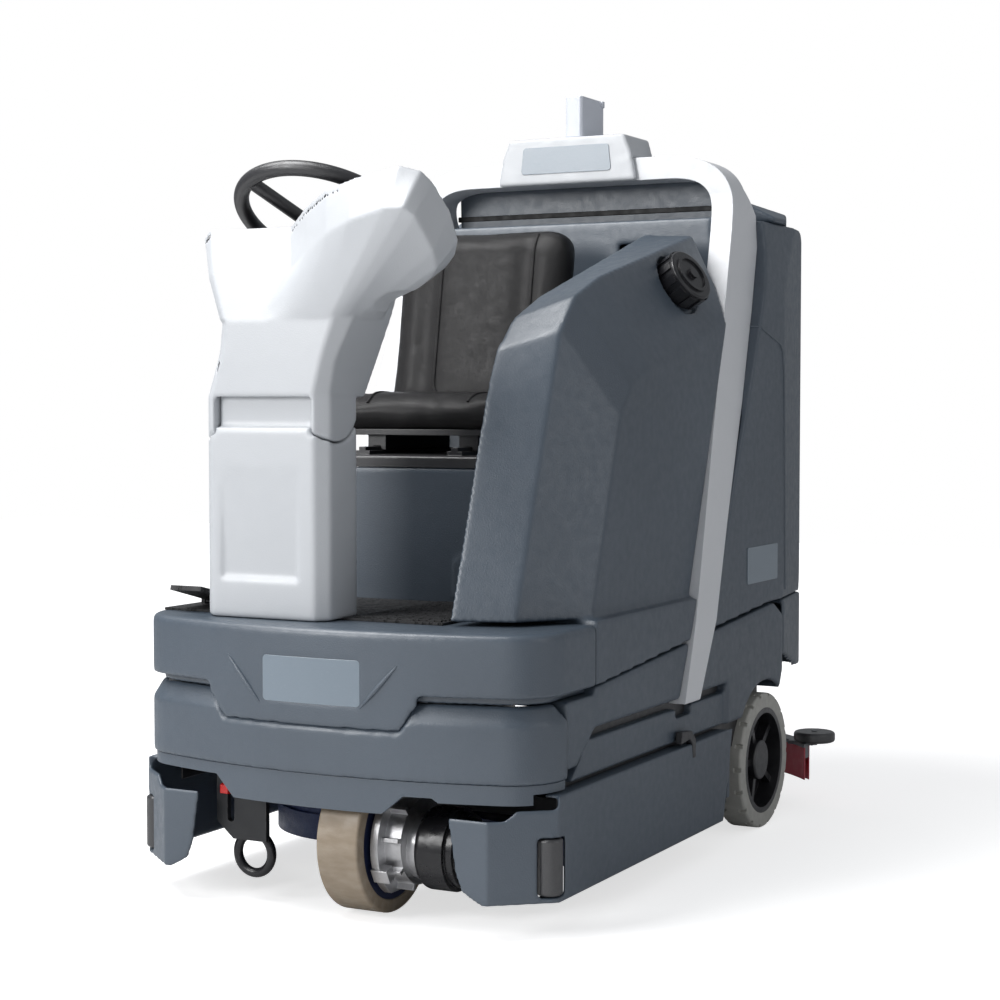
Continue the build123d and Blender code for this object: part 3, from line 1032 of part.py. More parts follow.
def disc_brush(x):
    """Disc brush: block and bristle ring, on the motor's shaft."""
    brush = rod((x, BRUSH_Y, BRISTLE_Z + 52), (0, 0, 1), BRUSH_R - 6, 24)
    bristles = pipe((x, BRUSH_Y, BRISTLE_Z), (0, 0, 1), BRUSH_R, 90, 53)
    return brush + bristles - rod((x, BRUSH_Y, BRISTLE_Z + 54), (0, 0, 1), 12 + FIT, 60)


def skirt():
    """Left side skirt: front return, bevelled corner, long side and a top flange, with its hinge lug."""
    y0 = FRONT_Y + 30.0
    x_in, x_mid = 269.0, 348.0
    bevel_y = DRIVE_Y - 37.0
    s = SKIRT_HALF
    outer = [(x_in, y0), (x_mid, y0), (s, bevel_y), (s, SKIRT_REAR), (s - WALL, SKIRT_REAR), (s - WALL, bevel_y + 4),
             (x_mid - 3, y0 + WALL), (x_in, y0 + WALL)]
    wall = plan(outer, SKIRT_Z, SKIRT_TOP)
    wall -= front([(x_in - 10, 213), (x_mid + 22, 213), (x_mid + 40, 231), (s - 3, 231), (s - 3, 400), (x_in - 10, 400)],
                  y0 - 10, bevel_y + 8)
    wall -= front([(x_in - 10, 213), (x_in, 213), (x_in + 15, 118), (x_in + 28, 84), (x_mid - 12, SKIRT_Z - 1),
                   (x_in - 10, SKIRT_Z - 1)], y0 - 10, bevel_y + 8)
    wall -= side([(SKIRT_REAR - 50, SKIRT_Z - 1), (SKIRT_REAR + 1, SKIRT_TOP + 1), (SKIRT_REAR + 10, SKIRT_Z - 1)], s - 20, s + 1)
    flange = plan([(s - 1, bevel_y + 10), (s - 1, SKIRT_REAR - 20), (s - 34, SKIRT_REAR - 20), (s - 34, bevel_y + 10)],
                  SKIRT_TOP - 6, SKIRT_TOP)
    rx, ry = ROLLER_AT
    window = rod((rx, ry, SKIRT_Z + 10), (0, 0, 1), ROLLER_R + 5, 106)
    shelves = None
    for z in (SKIRT_Z + 2, SKIRT_Z + 116):
        shelf = rod((rx, ry, z), (0, 0, 1), 20, 6) + plan([(rx, ry - 18), (s - 2, bevel_y), (s - 2, ry + 20), (rx, ry + 18)],
                                                            z, z + 6)
        shelf -= rod((rx, ry, z - 1), (0, 0, 1), 4 + FIT, 10)
        shelves = shelf if shelves is None else shelves + shelf
    hx, hy = SKIRT_HINGE
    lug_z0, lug_z1 = SKIRT_EAR_LOW + PLATE + 0.4, SKIRT_EAR_HIGH - 0.4
    lug = rod((hx, hy, lug_z0), (0, 0, 1), 10, lug_z1 - lug_z0) + box(hx, s - 2, hy - 8, hy + 8, lug_z0, lug_z1)
    pin = rod((hx, hy, SKIRT_EAR_LOW), (0, 0, 1), HINGE_PIN_R, SKIRT_EAR_HIGH + PLATE - SKIRT_EAR_LOW)
    return wall - window + flange + shelves + lug + pin


def corner_roller():
    """Left corner roller on its pin."""
    rx, ry = ROLLER_AT
    roller = rod((rx, ry, SKIRT_Z + 12), (0, 0, 1), ROLLER_R, 102)
    roller = fillet(roller.edges(), 6)
    return roller + rod((rx, ry, SKIRT_Z + 2), (0, 0, 1), 4, 120)


# ---------------------------------------------------------------- squeegee
ARM_X = 110.0
ARM_Y = BODY_REAR + 22.0
ARM_Z = 235.0
ARM_LENGTH = 215.0
CARRIER_Z = 200.0
CARRIER_Y = ARM_Y + ARM_LENGTH
SWING_Y = CARRIER_Y + 30.0
SQUEEGEE_END_Y = BODY_REAR + 138.0
SQUEEGEE_MID_Y = REAR_Y - 110.0
GUIDE_Y = SQUEEGEE_END_Y + 34.0
FRAME_TOP = BLADE_Z + BLADE_HEIGHT
FRAME_Z0 = FRAME_TOP - 26.0
SPIGOT_FOOT = (0, SQUEEGEE_MID_Y - 4, FRAME_TOP + 10)
SPIGOT_AXIS = (0, 0.6, 0.8)
SPIGOT_LENGTH = 74.0
SQUEEGEE_HALF = SQUEEGEE_WIDTH / 2 - GUIDE_ROLLER_R - 6.0


def squeegee_line(back=0.0, half=SQUEEGEE_HALF):
    """The squeegee's curve in plan, moved back by an amount."""
    return ThreePointArc((-half, SQUEEGEE_END_Y + back), (0, SQUEEGEE_MID_Y + back), (half, SQUEEGEE_END_Y + back))


def squeegee_strip(back, thickness, z0, z1, half=SQUEEGEE_HALF):
    """A strip that follows the squeegee's curve."""
    front_arc = squeegee_line(back, half)
    rear_arc = squeegee_line(back + thickness, half)
    ends = [Line(front_arc @ 0, rear_arc @ 0), Line(front_arc @ 1, rear_arc @ 1)]
    face = make_face([front_arc, rear_arc] + ends)
    return extrude(Pos(0, 0, z0) * face, amount=z1 - z0, dir=(0, 0, 1))


def squeegee_arm():
    """Lift arms of the squeegee, joined by a cross tube."""
    drop = CARRIER_Z - ARM_Z
    arm = side([(ARM_Y, ARM_Z - 16), (CARRIER_Y, CARRIER_Z - 16), (CARRIER_Y, CARRIER_Z + 16), (ARM_Y, ARM_Z + 16)],
               ARM_X - 6, ARM_X + 6)
    arm += rod((ARM_X - 6, ARM_Y, ARM_Z), (1, 0, 0), 16, 12) + rod((ARM_X - 6, CARRIER_Y, CARRIER_Z), (1, 0, 0), 16, 12)
    pin = rod((ARM_X - 22, ARM_Y, ARM_Z), (1, 0, 0), PIVOT_R, 44)
    bore = rod((ARM_X - 20, CARRIER_Y, CARRIER_Z), (1, 0, 0), PIVOT_R + FIT, 40)
    tube = rod((-ARM_X, ARM_Y + 90, ARM_Z + drop * 90 / ARM_LENGTH), (1, 0, 0), 12, 2 * ARM_X)
    return both(arm - bore + pin) + tube


def squeegee_carrier():
    """Cross beam that keeps the squeegee level, with the swing pin under it."""
    beam = box(-ARM_X + 12, ARM_X - 12, CARRIER_Y - 14, CARRIER_Y + 14, CARRIER_Z - 14, CARRIER_Z + 14)
    pins = rod((-ARM_X - 8, CARRIER_Y, CARRIER_Z), (1, 0, 0), PIVOT_R, 2 * ARM_X + 16)
    plate = box(-40, 40, CARRIER_Y, SWING_Y + 26, CARRIER_Z - 14, CARRIER_Z - 4)
    pin = rod((0, SWING_Y, CARRIER_Z - 60), (0, 0, 1), 10, 50)
    return beam + pins + plate + pin


def squeegee_frame():
    """Curved squeegee body with its suction spigot, swing socket, clamp strip, roller pins and rear guard."""
    bar = squeegee_strip(-22, 44, FRAME_TOP, FRAME_TOP + 8) + squeegee_strip(-12, 24, FRAME_Z0, FRAME_TOP)
    neck = plan([(-34, SWING_Y - 26), (34, SWING_Y - 26), (60, SQUEEGEE_MID_Y + 6), (-60, SQUEEGEE_MID_Y + 6)],
                FRAME_TOP, CARRIER_Z - 46)
    socket = pipe((0, SWING_Y, FRAME_TOP), (0, 0, 1), 24, 10 + FIT, CARRIER_Z - 14 - 0.4 - FRAME_TOP)
    spigot = rod(SPIGOT_FOOT, SPIGOT_AXIS, SUCTION_R, SPIGOT_LENGTH) + rod(SPIGOT_FOOT, SPIGOT_AXIS, SUCTION_R + 4, 24)
    spigot += rod((0, SQUEEGEE_MID_Y - 4, FRAME_TOP), (0, 0, 1), SUCTION_R + 4, 14)
    spigot &= box(-100, 100, SWING_Y, REAR_Y, FRAME_TOP, CARRIER_Z + 100)
    guard = pipe((0, SQUEEGEE_MID_Y + 20, FRAME_TOP), (0, 0, 1), REAR_Y - SQUEEGEE_MID_Y - 20, 76, 12)
    guard &= box(-200, 200, SQUEEGEE_MID_Y + 10, REAR_Y, 0, 400)
    frame = bar + neck + socket + spigot + guard
    frame -= rod((0, SWING_Y, 0), (0, 0, 1), 10 + FIT, 400)
    frame -= rod(SPIGOT_FOOT, SPIGOT_AXIS, SUCTION_R - 4, 2 * SPIGOT_LENGTH)
    frame -= rod((0, SQUEEGEE_MID_Y - 4, FRAME_Z0 - 10), (0, 0, 1), SUCTION_R - 4, 46)
    for sign in (-1, 1):
        x = sign * (SQUEEGEE_WIDTH / 2 - GUIDE_ROLLER_R)
        arm = box(min(x, x - sign * 60), max(x, x - sign * 60), GUIDE_Y - 14, GUIDE_Y + 14, FRAME_TOP, FRAME_TOP + 8)
        frame += arm + rod((x, GUIDE_Y, FRAME_TOP), (0, 0, 1), 7, 34)
    return frame


def squeegee_blade():
    """Front and rear blades of the squeegee, joined at the ends by the clamp strips."""
    top = FRAME_TOP - SOFT_GAP
    return squeegee_strip(-18, 5.5, BLADE_Z + 4, top) + squeegee_strip(12.5, 5.5, BLADE_Z, top)


def guide_roller(sign):
    """Horizontal guide roller at the end of the squeegee."""
    x = sign * (SQUEEGEE_WIDTH / 2 - GUIDE_ROLLER_R)
    z0 = FRAME_TOP + 8.4
    roller = rod((x, GUIDE_Y, z0), (0, 0, 1), GUIDE_ROLLER_R, 24)
    roller = fillet(roller.edges(), 7)
    return roller - rod((x, GUIDE_Y, z0 - 1), (0, 0, 1), 7 + FIT, 40)


# ---------------------------------------------------------------- small fixed pieces
def tie_down_loop():
    """Round lashing loop under the front bracket."""
    return Pos(LOOP_X, LOOP_Y, LOOP_Z) * Rot(X=90) * Torus(LOOP_R, LOOP_WIRE_R)


def front_bracket():
    """Slotted bracket that hangs from the chassis plate and holds the lashing loop."""
    top = RAIL_TOP - PLATE - GAP
    bracket = front([(-262, top), (-262, 150), (-225, 118), (-150, 118), (-150, top)], LOOP_Y - 14, LOOP_Y - 2)
    bracket -= front([(-238, 150), (-222, 150), (-222, 235), (-238, 235)], LOOP_Y - 30, LOOP_Y + 20, 7)
    flange = box(-262, -150, LOOP_Y - 14, LOOP_Y + 40, top - 8, top)
    grip = box(LOOP_X - 24, LOOP_X + 24, LOOP_Y - 14, LOOP_Y + 14, 118, 150)
    return bracket + flange + grip - Pos(LOOP_X, LOOP_Y, LOOP_Z) * Rot(X=90) * Torus(LOOP_R, LOOP_WIRE_R + 0.2)


def tank_ports():
    """Suction spigot and drain spigot on the recovery tank's rear, each with a collar."""
    ports = None
    for x, outer, wall in [(-PORT_X, SUCTION_R, 4.0), (PORT_X, DRAIN_R, 5.0)]:
        port = pipe((x, PORT_Y, PORT_Z), (0, 1, 0), outer, outer - wall, PORT_LENGTH)
        port += pipe((x, PORT_Y + 25, PORT_Z), (0, 1, 0), outer + 6, outer - wall, 6)
        ports = port if ports is None else ports + port
    return ports


def cover_screws():
    """Hexagon screws of the covers, alike."""
    screws = None
    for x, y, z in [(-300, DRIVE_Y + 150, RAIL_TOP), (300, DRIVE_Y + 150, RAIL_TOP), (-180, DRIVE_Y + 150, RAIL_TOP),
                    (180, DRIVE_Y + 150, RAIL_TOP)]:
        screw = Pos(x, y, z + 0.2) * extrude(RegularPolygon(8, 6), amount=6)
        screws = screw if screws is None else screws + screw
    return screws


# ---------------------------------------------------------------- the assembly
os.makedirs("parts", exist_ok=True)
hoop_left, hoop_right, hoop_top = hoop_pieces()
left_belt, left_tyre, left_rim = side_belt(), rear_tyre(), rear_rim()
left_skirt, left_roller = skirt(), corner_roller()
PARTS = {
    "chassis_frame": chassis_frame(),
    "front_cover": front_cover(),
    "front_bumper": front_bumper(),
    "front_apron": front_apron(),
    "label_plates": label_plates(),
    "floor_mat": floor_mat(),
    "solution_tank": solution_tank(),
    "side_belt_left": left_belt,
    "side_belt_right": other_side(left_belt),
    "rear_panel": rear_panel(),
    "recovery_tank": recovery_tank(),
    "hoop_left": hoop_left,
    "hoop_right": hoop_right,
    "hoop_top": hoop_top,
    "hoop_plate": hoop_plate(),
    "beacon_post": beacon_post(),
    "column_base": column_base(),
    "tie_down_loop": tie_down_loop(),
    "front_bracket": front_bracket(),
    "battery_pack": battery_pack(),
    "seat_base": seat_base(),
    "tank_ports": tank_ports(),
    "cover_screws": cover_screws(),
    "drive_yoke": drive_yoke(),
    "drive_gearbox": drive_gearbox(),
    "drive_motor": drive_motor(),
    "drive_tyre": drive_tyre(),
    "drive_rim": drive_rim(),
    "rear_tyre_left": left_tyre,
    "rear_rim_left": left_rim,
    "rear_tyre_right": other_side(left_tyre),
    "rear_rim_right": other_side(left_rim),
    "brush_deck": brush_deck(),
    "brush_left": disc_brush(BRUSH_X),
    "brush_right": disc_brush(-BRUSH_X),
    "skirt_left": left_skirt,
    "skirt_right": other_side(left_skirt),
    "corner_roller_left": left_roller,
    "corner_roller_right": other_side(left_roller),
    "squeegee_arm": squeegee_arm(),
    "squeegee_carrier": squeegee_carrier(),
    "squeegee_frame": squeegee_frame(),
    "squeegee_blade": squeegee_blade(),
    "guide_roller_left": guide_roller(1),
    "guide_roller_right": guide_roller(-1),
    "seat_deck": seat_deck(),
    "seat_shell": seat_shell(),
    "seat_cushion": seat_cushion(),
    "seat_back": seat_back(),
    "tank_lid": tank_lid(),
    "cap_seal": cap_seal(),
    "fill_cap": fill_cap(),
    "column_head": column_head(),
    "control_panel": control_panel(),
    "steering_wheel": steering_wheel(),
    "stop_button": stop_button(),
    "start_button": start_button(),
    "key_switch": key_switch(),
    "accelerator_pedal": accelerator_pedal(),
}
for node, shape in PARTS.items():
    export_step(shape, f"parts/{node}.step")
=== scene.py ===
import json
from math import cos, pi, radians, sin
import bmesh
import bpy
import numpy as np
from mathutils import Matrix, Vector
from mathutils.bvhtree import BVHTree


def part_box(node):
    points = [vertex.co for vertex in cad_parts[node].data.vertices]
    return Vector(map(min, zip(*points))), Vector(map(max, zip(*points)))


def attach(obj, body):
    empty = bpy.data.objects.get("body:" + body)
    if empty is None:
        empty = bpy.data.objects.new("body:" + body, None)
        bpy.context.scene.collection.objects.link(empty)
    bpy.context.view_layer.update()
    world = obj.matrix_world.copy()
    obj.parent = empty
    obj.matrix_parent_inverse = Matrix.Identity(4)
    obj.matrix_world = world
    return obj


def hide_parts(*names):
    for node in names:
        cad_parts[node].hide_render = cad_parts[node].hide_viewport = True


# Ride-on floor scrubber, in metres: x to its left, y to its rear, z up from the floor. The frame's
# record says which body and which material slot each piece has.
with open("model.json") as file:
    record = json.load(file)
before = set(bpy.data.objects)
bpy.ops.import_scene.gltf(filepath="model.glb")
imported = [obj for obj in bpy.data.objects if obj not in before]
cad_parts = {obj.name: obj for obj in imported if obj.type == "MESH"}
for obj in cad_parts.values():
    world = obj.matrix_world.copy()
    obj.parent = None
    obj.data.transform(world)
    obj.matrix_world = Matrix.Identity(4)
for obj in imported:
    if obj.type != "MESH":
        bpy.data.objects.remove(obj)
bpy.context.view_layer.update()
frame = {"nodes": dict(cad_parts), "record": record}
RECORD = frame["record"]
BODY = {node: body for body, nodes in RECORD["behaviour"]["bodies"].items() for node in nodes}
SLOT = {part["node"]: part["material_slot"] for part in RECORD["subparts"]}
FINISHES = {}
DEPS = bpy.context.evaluated_depsgraph_get


# ---------------------------------------------------------------- chassis frame and front bracket
# The chassis is a weldment of folded steel with a black powder coat. The front bracket is a bent
# plate bolted under its nose, with two latches that have red pull tabs.
def feed(item, plug):
    """Put a wire, number, vector or colour into a socket."""
    if isinstance(item, Wire):
        item.tree.links.new(item.socket, plug)
    elif isinstance(item, tuple) and plug.type == "RGBA":
        plug.default_value = (*item, 1.0)
    else:
        plug.default_value = item


def shader_node(tree, kind, settings, plugs, outlet=0):
    """Add a node: its settings first, then what feeds its sockets. Gives the wire of one outlet."""
    node = tree.nodes.new("ShaderNode" + kind)
    for key, value in settings.items():
        setattr(node, key, value)
    for plug, item in plugs.items():
        feed(item, node.inputs[plug])
    return Wire(tree, node.outputs[outlet])


class Wire:
    """A number, vector or colour that runs through a shader tree, with arithmetic."""

    def __init__(self, tree, socket):
        self.tree = tree
        self.socket = socket

    def join(self, operation, other):
        return shader_node(self.tree, "Math", {"operation": operation}, {0: self, 1: other})

    def __add__(self, other):
        return self.join("ADD", other)

    def __mul__(self, other):
        return self.join("MULTIPLY", other)

    __radd__ = __add__
    __rmul__ = __mul__

    def ranged(self, low, high, start=0.0, end=1.0):
        """start at low and end at high, straight between them and level past them."""
        return shader_node(self.tree, "MapRange", {}, {0: self, 1: low, 2: high, 3: start, 4: end})

    def blend(self, first, second):
        """The first colour where this is 0, the second where it is 1."""
        plugs = {0: self, 6: first, 7: second}
        return shader_node(self.tree, "Mix", {"data_type": "RGBA"}, plugs, 2)


class Finish:
    """A material with one Principled shader, and the textures that feed it."""

    def __init__(self, name, constants=None):
        self.material = bpy.data.materials.new(name)
        self.material.use_nodes = True
        self.tree = self.material.node_tree
        self.shader = self.tree.nodes["Principled BSDF"]
        for key, value in (constants or {}).items():
            self.set(key, value)

    def set(self, key, item):
        feed(item, self.shader.inputs[key])

    def node(self, kind, settings=None, plugs=None, outlet=0):
        return shader_node(self.tree, kind, settings or {}, plugs or {}, outlet)

    def place(self, stretch=(1, 1, 1)):
        """The point on the object, with each axis times its stretch."""
        spot = self.node("TexCoord", outlet="Object")
        return self.node("Mapping", plugs={"Vector": spot, "Scale": stretch})

    def noise(self, scale, detail=3.0, stretch=(1, 1, 1)):
        plugs = {"Vector": self.place(stretch), "Scale": scale, "Detail": detail}
        return self.node("TexNoise", plugs=plugs)

    def cells(self, scale, feature="F1", stretch=(1, 1, 1)):
        plugs = {"Vector": self.place(stretch), "Scale": scale}
        return self.node("TexVoronoi", {"feature": feature}, plugs)

    def soft_edges(self, radius):
        return self.node("Bevel", {"samples": 4}, {"Radius": radius})

    def worn(self, radius):
        """1 on edges, 0 on flats: where the softened normal leaves the true one."""
        true_normal = self.node("NewGeometry", outlet="Normal")
        plugs = {0: self.soft_edges(radius), 1: true_normal}
        dot = self.node("VectorMath", {"operation": "DOT_PRODUCT"}, plugs, "Value")
        return dot.ranged(0.995, 0.8)

    def relief(self, height, depth, edge=0.0):
        """Bump of a height pattern, on edges softened by a radius."""
        plugs = {"Distance": depth, "Height": height}
        if edge:
            plugs["Normal"] = self.soft_edges(edge)
        self.set("Normal", self.node("Bump", plugs=plugs))


def painted(name, colour, rough):
    """Powder coat or paint: orange peel, patches of paler dust and worn edges."""
    f = Finish(name)
    dust = f.noise(14.0, 5.0).ranged(0.45, 0.8) * 0.3
    tone = dust.blend(colour, tuple(min(1.0, c * 1.6 + 0.02) for c in colour))
    rub = f.worn(0.002) * f.noise(120.0).ranged(0.4, 0.7) * 0.6
    f.set("Base Color", rub.blend(tone, BARE_STEEL))
    f.set("Roughness", f.noise(35.0).ranged(0.3, 0.7, rough - 0.08, rough + 0.1))
    f.relief(f.noise(90.0, 2.0), 0.0004, 0.001)
    FINISHES[name] = f.material


def glossy(name, colour, rough):
    """Smooth moulded plastic: a light orange peel, hairline scratches and edge wear."""
    f = Finish(name, {"Coat Weight": 0.3, "Coat Roughness": 0.15})
    lines = f.noise(90.0, 2.0, (1, 14, 3)).ranged(0.62, 0.72)
    wear = f.worn(0.002) * 0.4 + lines * 0.1
    f.set("Base Color", wear.blend(colour, tuple(min(1, c * 1.5 + 0.03) for c in colour)))
    f.set("Roughness", lines.ranged(0.0, 1.0, rough, rough + 0.2))
    f.relief(f.noise(140.0), 0.0002, 0.001)
    FINISHES[name] = f.material


def mesh_object(name, verts, faces):
    """A smooth-shaded mesh object in the scene."""
    mesh = bpy.data.meshes.new(name)
    mesh.from_pydata([tuple(v) for v in verts], [], [tuple(f) for f in faces])
    mesh.shade_smooth()
    piece = bpy.data.objects.new(name, mesh)
    bpy.context.scene.collection.objects.link(piece)
    return piece


def flats_joined(bm):
    """Join neighbouring faces that lie in one plane, to within a degree."""
    bmesh.ops.dissolve_limit(bm, angle_limit=radians(1.0), verts=bm.verts, edges=bm.edges)


def welded(name, *nodes):
    """A copy of some CAD nodes with their triangles welded and their flats joined."""
    bm = bmesh.new()
    for node in nodes:
        bm.from_mesh(frame["nodes"][node].data)
    bmesh.ops.remove_doubles(bm, verts=bm.verts, dist=2e-5)
    flats_joined(bm)
    verts = [v.co[:] for v in bm.verts]
    index = {v: i for i, v in enumerate(bm.verts)}
    faces = [[index[v] for v in f.verts] for f in bm.faces]
    bm.free()
    return mesh_object(name, verts, faces)


def modified(piece):
    """Apply a piece's modifiers to its mesh."""
    mesh = bpy.data.meshes.new_from_object(piece.evaluated_get(DEPS()))
    piece.modifiers.clear()
    piece.data = mesh
    return piece


def fixed(piece, body, slot):
    """Give a piece its body, and its slot with the finish of that slot."""
    piece.data.materials.clear()
    piece.data.materials.append(FINISHES[slot])
    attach(piece, body)


def dressed(piece, *nodes):
    """Give a piece the finish and body of the CAD nodes that it stands for."""
    fixed(piece, BODY[nodes[0]], SLOT[nodes[0]])
    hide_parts(*nodes)
    return piece


def rounded(piece, width, segments):
    """Add rounded hard edges to a piece."""
    bevel = piece.modifiers.new("edges", "BEVEL")
    bevel.width = width
    bevel.segments = segments
    bevel.limit_method = "ANGLE"
    bevel.angle_limit = radians(28)
    bevel.harden_normals = True
    normals = piece.modifiers.new("normals", "WEIGHTED_NORMAL")
    normals.keep_sharp = True


def bevelled(node, width=0.0008, segments=2):
    """A CAD node with its hard edges rounded by a width, which is small on machined metal."""
    piece = welded(node + "_part", node)
    rounded(piece, width, segments)
    dressed(modified(piece), node)


def pressed(name, outline, span, node, slot=None):
    """A flat piece with rounded edges: an outline of (y, z) points, carried along x over a span."""
    count = len(outline)
    loop = np.arange(count)
    after = (loop + 1) % count
    verts = [(x, y, z) for x in sorted(span) for y, z in outline]
    rims = np.stack([loop, loop + count, after + count, after], axis=1).tolist()
    ends = [loop.tolist(), (loop[::-1] + count).tolist()]
    piece = mesh_object(name, verts, ends + rims)
    bm = bmesh.new()
    bm.from_mesh(piece.data)
    bmesh.ops.recalc_face_normals(bm, faces=bm.faces)
    bm.to_mesh(piece.data)
    bm.free()
    rounded(piece, 0.0015, 2)
    fixed(modified(piece), BODY[node], slot or SLOT[node])


BARE_STEEL = (0.25, 0.25, 0.25)
painted("chassis_paint", (0.012, 0.013, 0.015), 0.40)
glossy("stop_red", (0.55, 0.012, 0.010), 0.25)
bevelled("chassis_frame")
bevelled("front_bracket")
TAB = [(-0.806, 0.205), (-0.806, 0.222), (-0.792, 0.226), (-0.792, 0.203)]
TAB_SPAN = (-0.247, -0.229)
TAB_PITCH = 0.05
for step in (0, 1):
    tab = [(y, z + TAB_PITCH * step) for y, z in TAB]
    pressed(f"bracket_tab_{step}", tab, TAB_SPAN, "front_bracket", "stop_red")


# ---------------------------------------------------------------- batteries and black sheets of painted shade
# The battery pack is a black polypropylene case that stands in the chassis. Black sheets stand behind
# the side belts and behind the joint of the nose and the bumper, as painted shade in the gaps there.
def moulded(name, colour, pale, rough, grain=420.0, depth=0.00035, speckle=0.12):
    """Fine-grained plastic: cloudy tone, speckle, paler worn edges and a pebbled grain."""
    f = Finish(name, {"Specular IOR Level": 1.0})
    cloud = f.noise(3.0, 4.0).ranged(0.3, 0.7)
    fleck = f.noise(grain * 1.6, 2.0).ranged(0.35, 0.65)
    tone = (cloud * 0.35 + fleck * speckle).blend(colour, pale)
    f.set("Base Color", (f.worn(0.004) * 0.35).blend(tone, pale))
    f.set("Roughness", f.noise(60.0).ranged(0.3, 0.7, rough - 0.05, rough + 0.07))
    f.relief(f.noise(grain, 3.0) + f.cells(grain * 0.8) * 0.4, depth, 0.0015)
    FINISHES[name] = f.material


moulded("battery_case", (0.010, 0.010, 0.012), (0.03, 0.03, 0.035), 0.45)
bevelled("battery_pack")
# Painted shade: thin black sheets just behind the mouldings darken the gaps beside the belts and the
# nose.
BELT_SHADE_SHEET = [(-0.70, 0.20), (-0.70, 0.36), (0.26, 0.36), (0.26, 0.20)]
BELT_SHADE_SHEET_SPAN = (0.412, 0.416)
NOSE_SHADE_SHEET = [(-0.792, 0.340), (-0.792, 0.440), (-0.788, 0.440), (-0.788, 0.340)]
NOSE_SHADE_SHEET_SPAN = (0.24, 0.375)
for hand in (-1, 1):
    pressed(f"seal_{hand + 1}", BELT_SHADE_SHEET, [hand * x for x in BELT_SHADE_SHEET_SPAN], "battery_pack")
    pressed(f"nose_shade_sheet_{hand + 1}", NOSE_SHADE_SHEET, [hand * x for x in NOSE_SHADE_SHEET_SPAN], "battery_pack")


# ---------------------------------------------------------------- drive unit
# A steered fork with a black-painted motor and a cast aluminium gearbox. The wheel has a dark
# blue cast core with a tan polyurethane tread moulded on it.
def metal(name, colour, rough, stretch=(1, 1, 12), grain=180.0):
    """Bare metal: brushed or cast grain, tarnish and bright edges."""
    f = Finish(name, {"Metallic": 1.0})
    tarnish = f.noise(30.0, 5.0).ranged(0.4, 0.75) * 0.5
    f.set("Base Color", tarnish.blend(colour, tuple(c * 0.55 for c in colour)))
    f.set("Roughness", f.noise(grain, 3.0, stretch).ranged(0.3, 0.7, rough - 0.1, rough + 0.15))
    f.relief(f.noise(grain, 3.0, stretch), 0.0003, 0.001)
    FINISHES[name] = f.material


def rubber(name, colour, dust, rough, grain=260.0, depth=0.0005, scuff=0.4):
    """Rubber or polyurethane: fine pitting, scuffs drawn round the wheel and dust."""
    f = Finish(name)
    marks = f.noise(18.0, 6.0, (1, 3, 3)).ranged(0.42, 0.75) * scuff
    f.set("Base Color", marks.blend(colour, dust))
    f.set("Roughness", f.noise(50.0).ranged(0.3, 0.7, rough - 0.1, rough + 0.1))
    f.relief(f.noise(grain, 4.0) + f.cells(grain * 0.3) * 0.3, depth, 0.001)
    FINISHES[name] = f.material


painted("motor_paint", (0.010, 0.010, 0.012), 0.28)
painted("drive_core", (0.014, 0.020, 0.055), 0.35)
metal("gear_aluminium", (0.62, 0.62, 0.63), 0.38, (1, 1, 1), 420.0)
rubber("drive_tread", (0.27, 0.215, 0.155), (0.40, 0.34, 0.27), 0.5, scuff=0.6)
for node in ("drive_yoke", "drive_motor", "drive_gearbox", "drive_rim"):
    bevelled(node)
bevelled("drive_tyre", 0.004, 3)

# ---------------------------------------------------------------- rear wheels
# Black glass-filled nylon rims with spokes, and grey non-marking rubber tyres with cross grooves.
moulded("rim_plastic", (0.008, 0.008, 0.010), (0.02, 0.02, 0.024), 0.35)
rubber("rear_tread", (0.40, 0.395, 0.365), (0.55, 0.54, 0.50), 0.6)
for hand in ("left", "right"):
    bevelled("rear_rim_" + hand)
    bevelled("rear_tyre_" + hand, 0.003)


# ---------------------------------------------------------------- brush deck and skirts
# A painted steel deck over two disc brushes with blue nylon bristles. A blue plastic skirt swings
# out on each side. It has a black bumper roller at its front corner, and a black hook latch on
# the chassis holds it shut.
def melted(name, nodes, voxel, turns, most=150000, opened=None):
    """CAD nodes moulded as one skin: remeshed at a voxel size, then softened by smoothing turns."""
    piece = welded(name, *nodes)
    if opened:
        opened(piece)
    remesh = piece.modifiers.new("skin", "REMESH")
    remesh.mode = "VOXEL"
    remesh.voxel_size = voxel * 1
    smooth = piece.modifiers.new("soft", "SMOOTH")
    smooth.factor = 0.5
    smooth.iterations = turns
    modified(piece)
    count = 2 * len(piece.data.polygons)
    if count > most:
        thin = piece.modifiers.new("thin", "DECIMATE")
        thin.ratio = most / count
        modified(piece)
    piece.data.shade_smooth()
    dressed(piece, *nodes)


BLUE = (0.047, 0.066, 0.090)
BLUE_PALE = (0.092, 0.120, 0.155)
painted("deck_paint", (0.020, 0.021, 0.023), 0.45)
rubber("bristle", (0.02, 0.035, 0.11), (0.06, 0.09, 0.2), 0.45, 500.0, 0.001)
moulded("skirt_plastic", BLUE, BLUE_PALE, 0.42)
moulded("roller_plastic", (0.010, 0.010, 0.012), (0.08, 0.08, 0.085), 0.35, speckle=0.2)
bevelled("brush_deck")
LATCH = [(-0.205, 0.262), (-0.200, 0.286), (-0.150, 0.282), (-0.128, 0.262), (-0.128, 0.225),
         (-0.142, 0.225), (-0.146, 0.254), (-0.160, 0.266)]
LATCH_SPAN = (0.436, 0.4505)
for hand, side in ((-1, "right"), (1, "left")):
    bevelled("brush_" + side)
    melted("skirt_skin_" + side, ["skirt_" + side], 0.004, 4, 60000)
    bevelled("corner_roller_" + side, 0.002)
    pressed(f"latch_{hand + 1}", LATCH, [hand * x for x in LATCH_SPAN], "battery_pack")

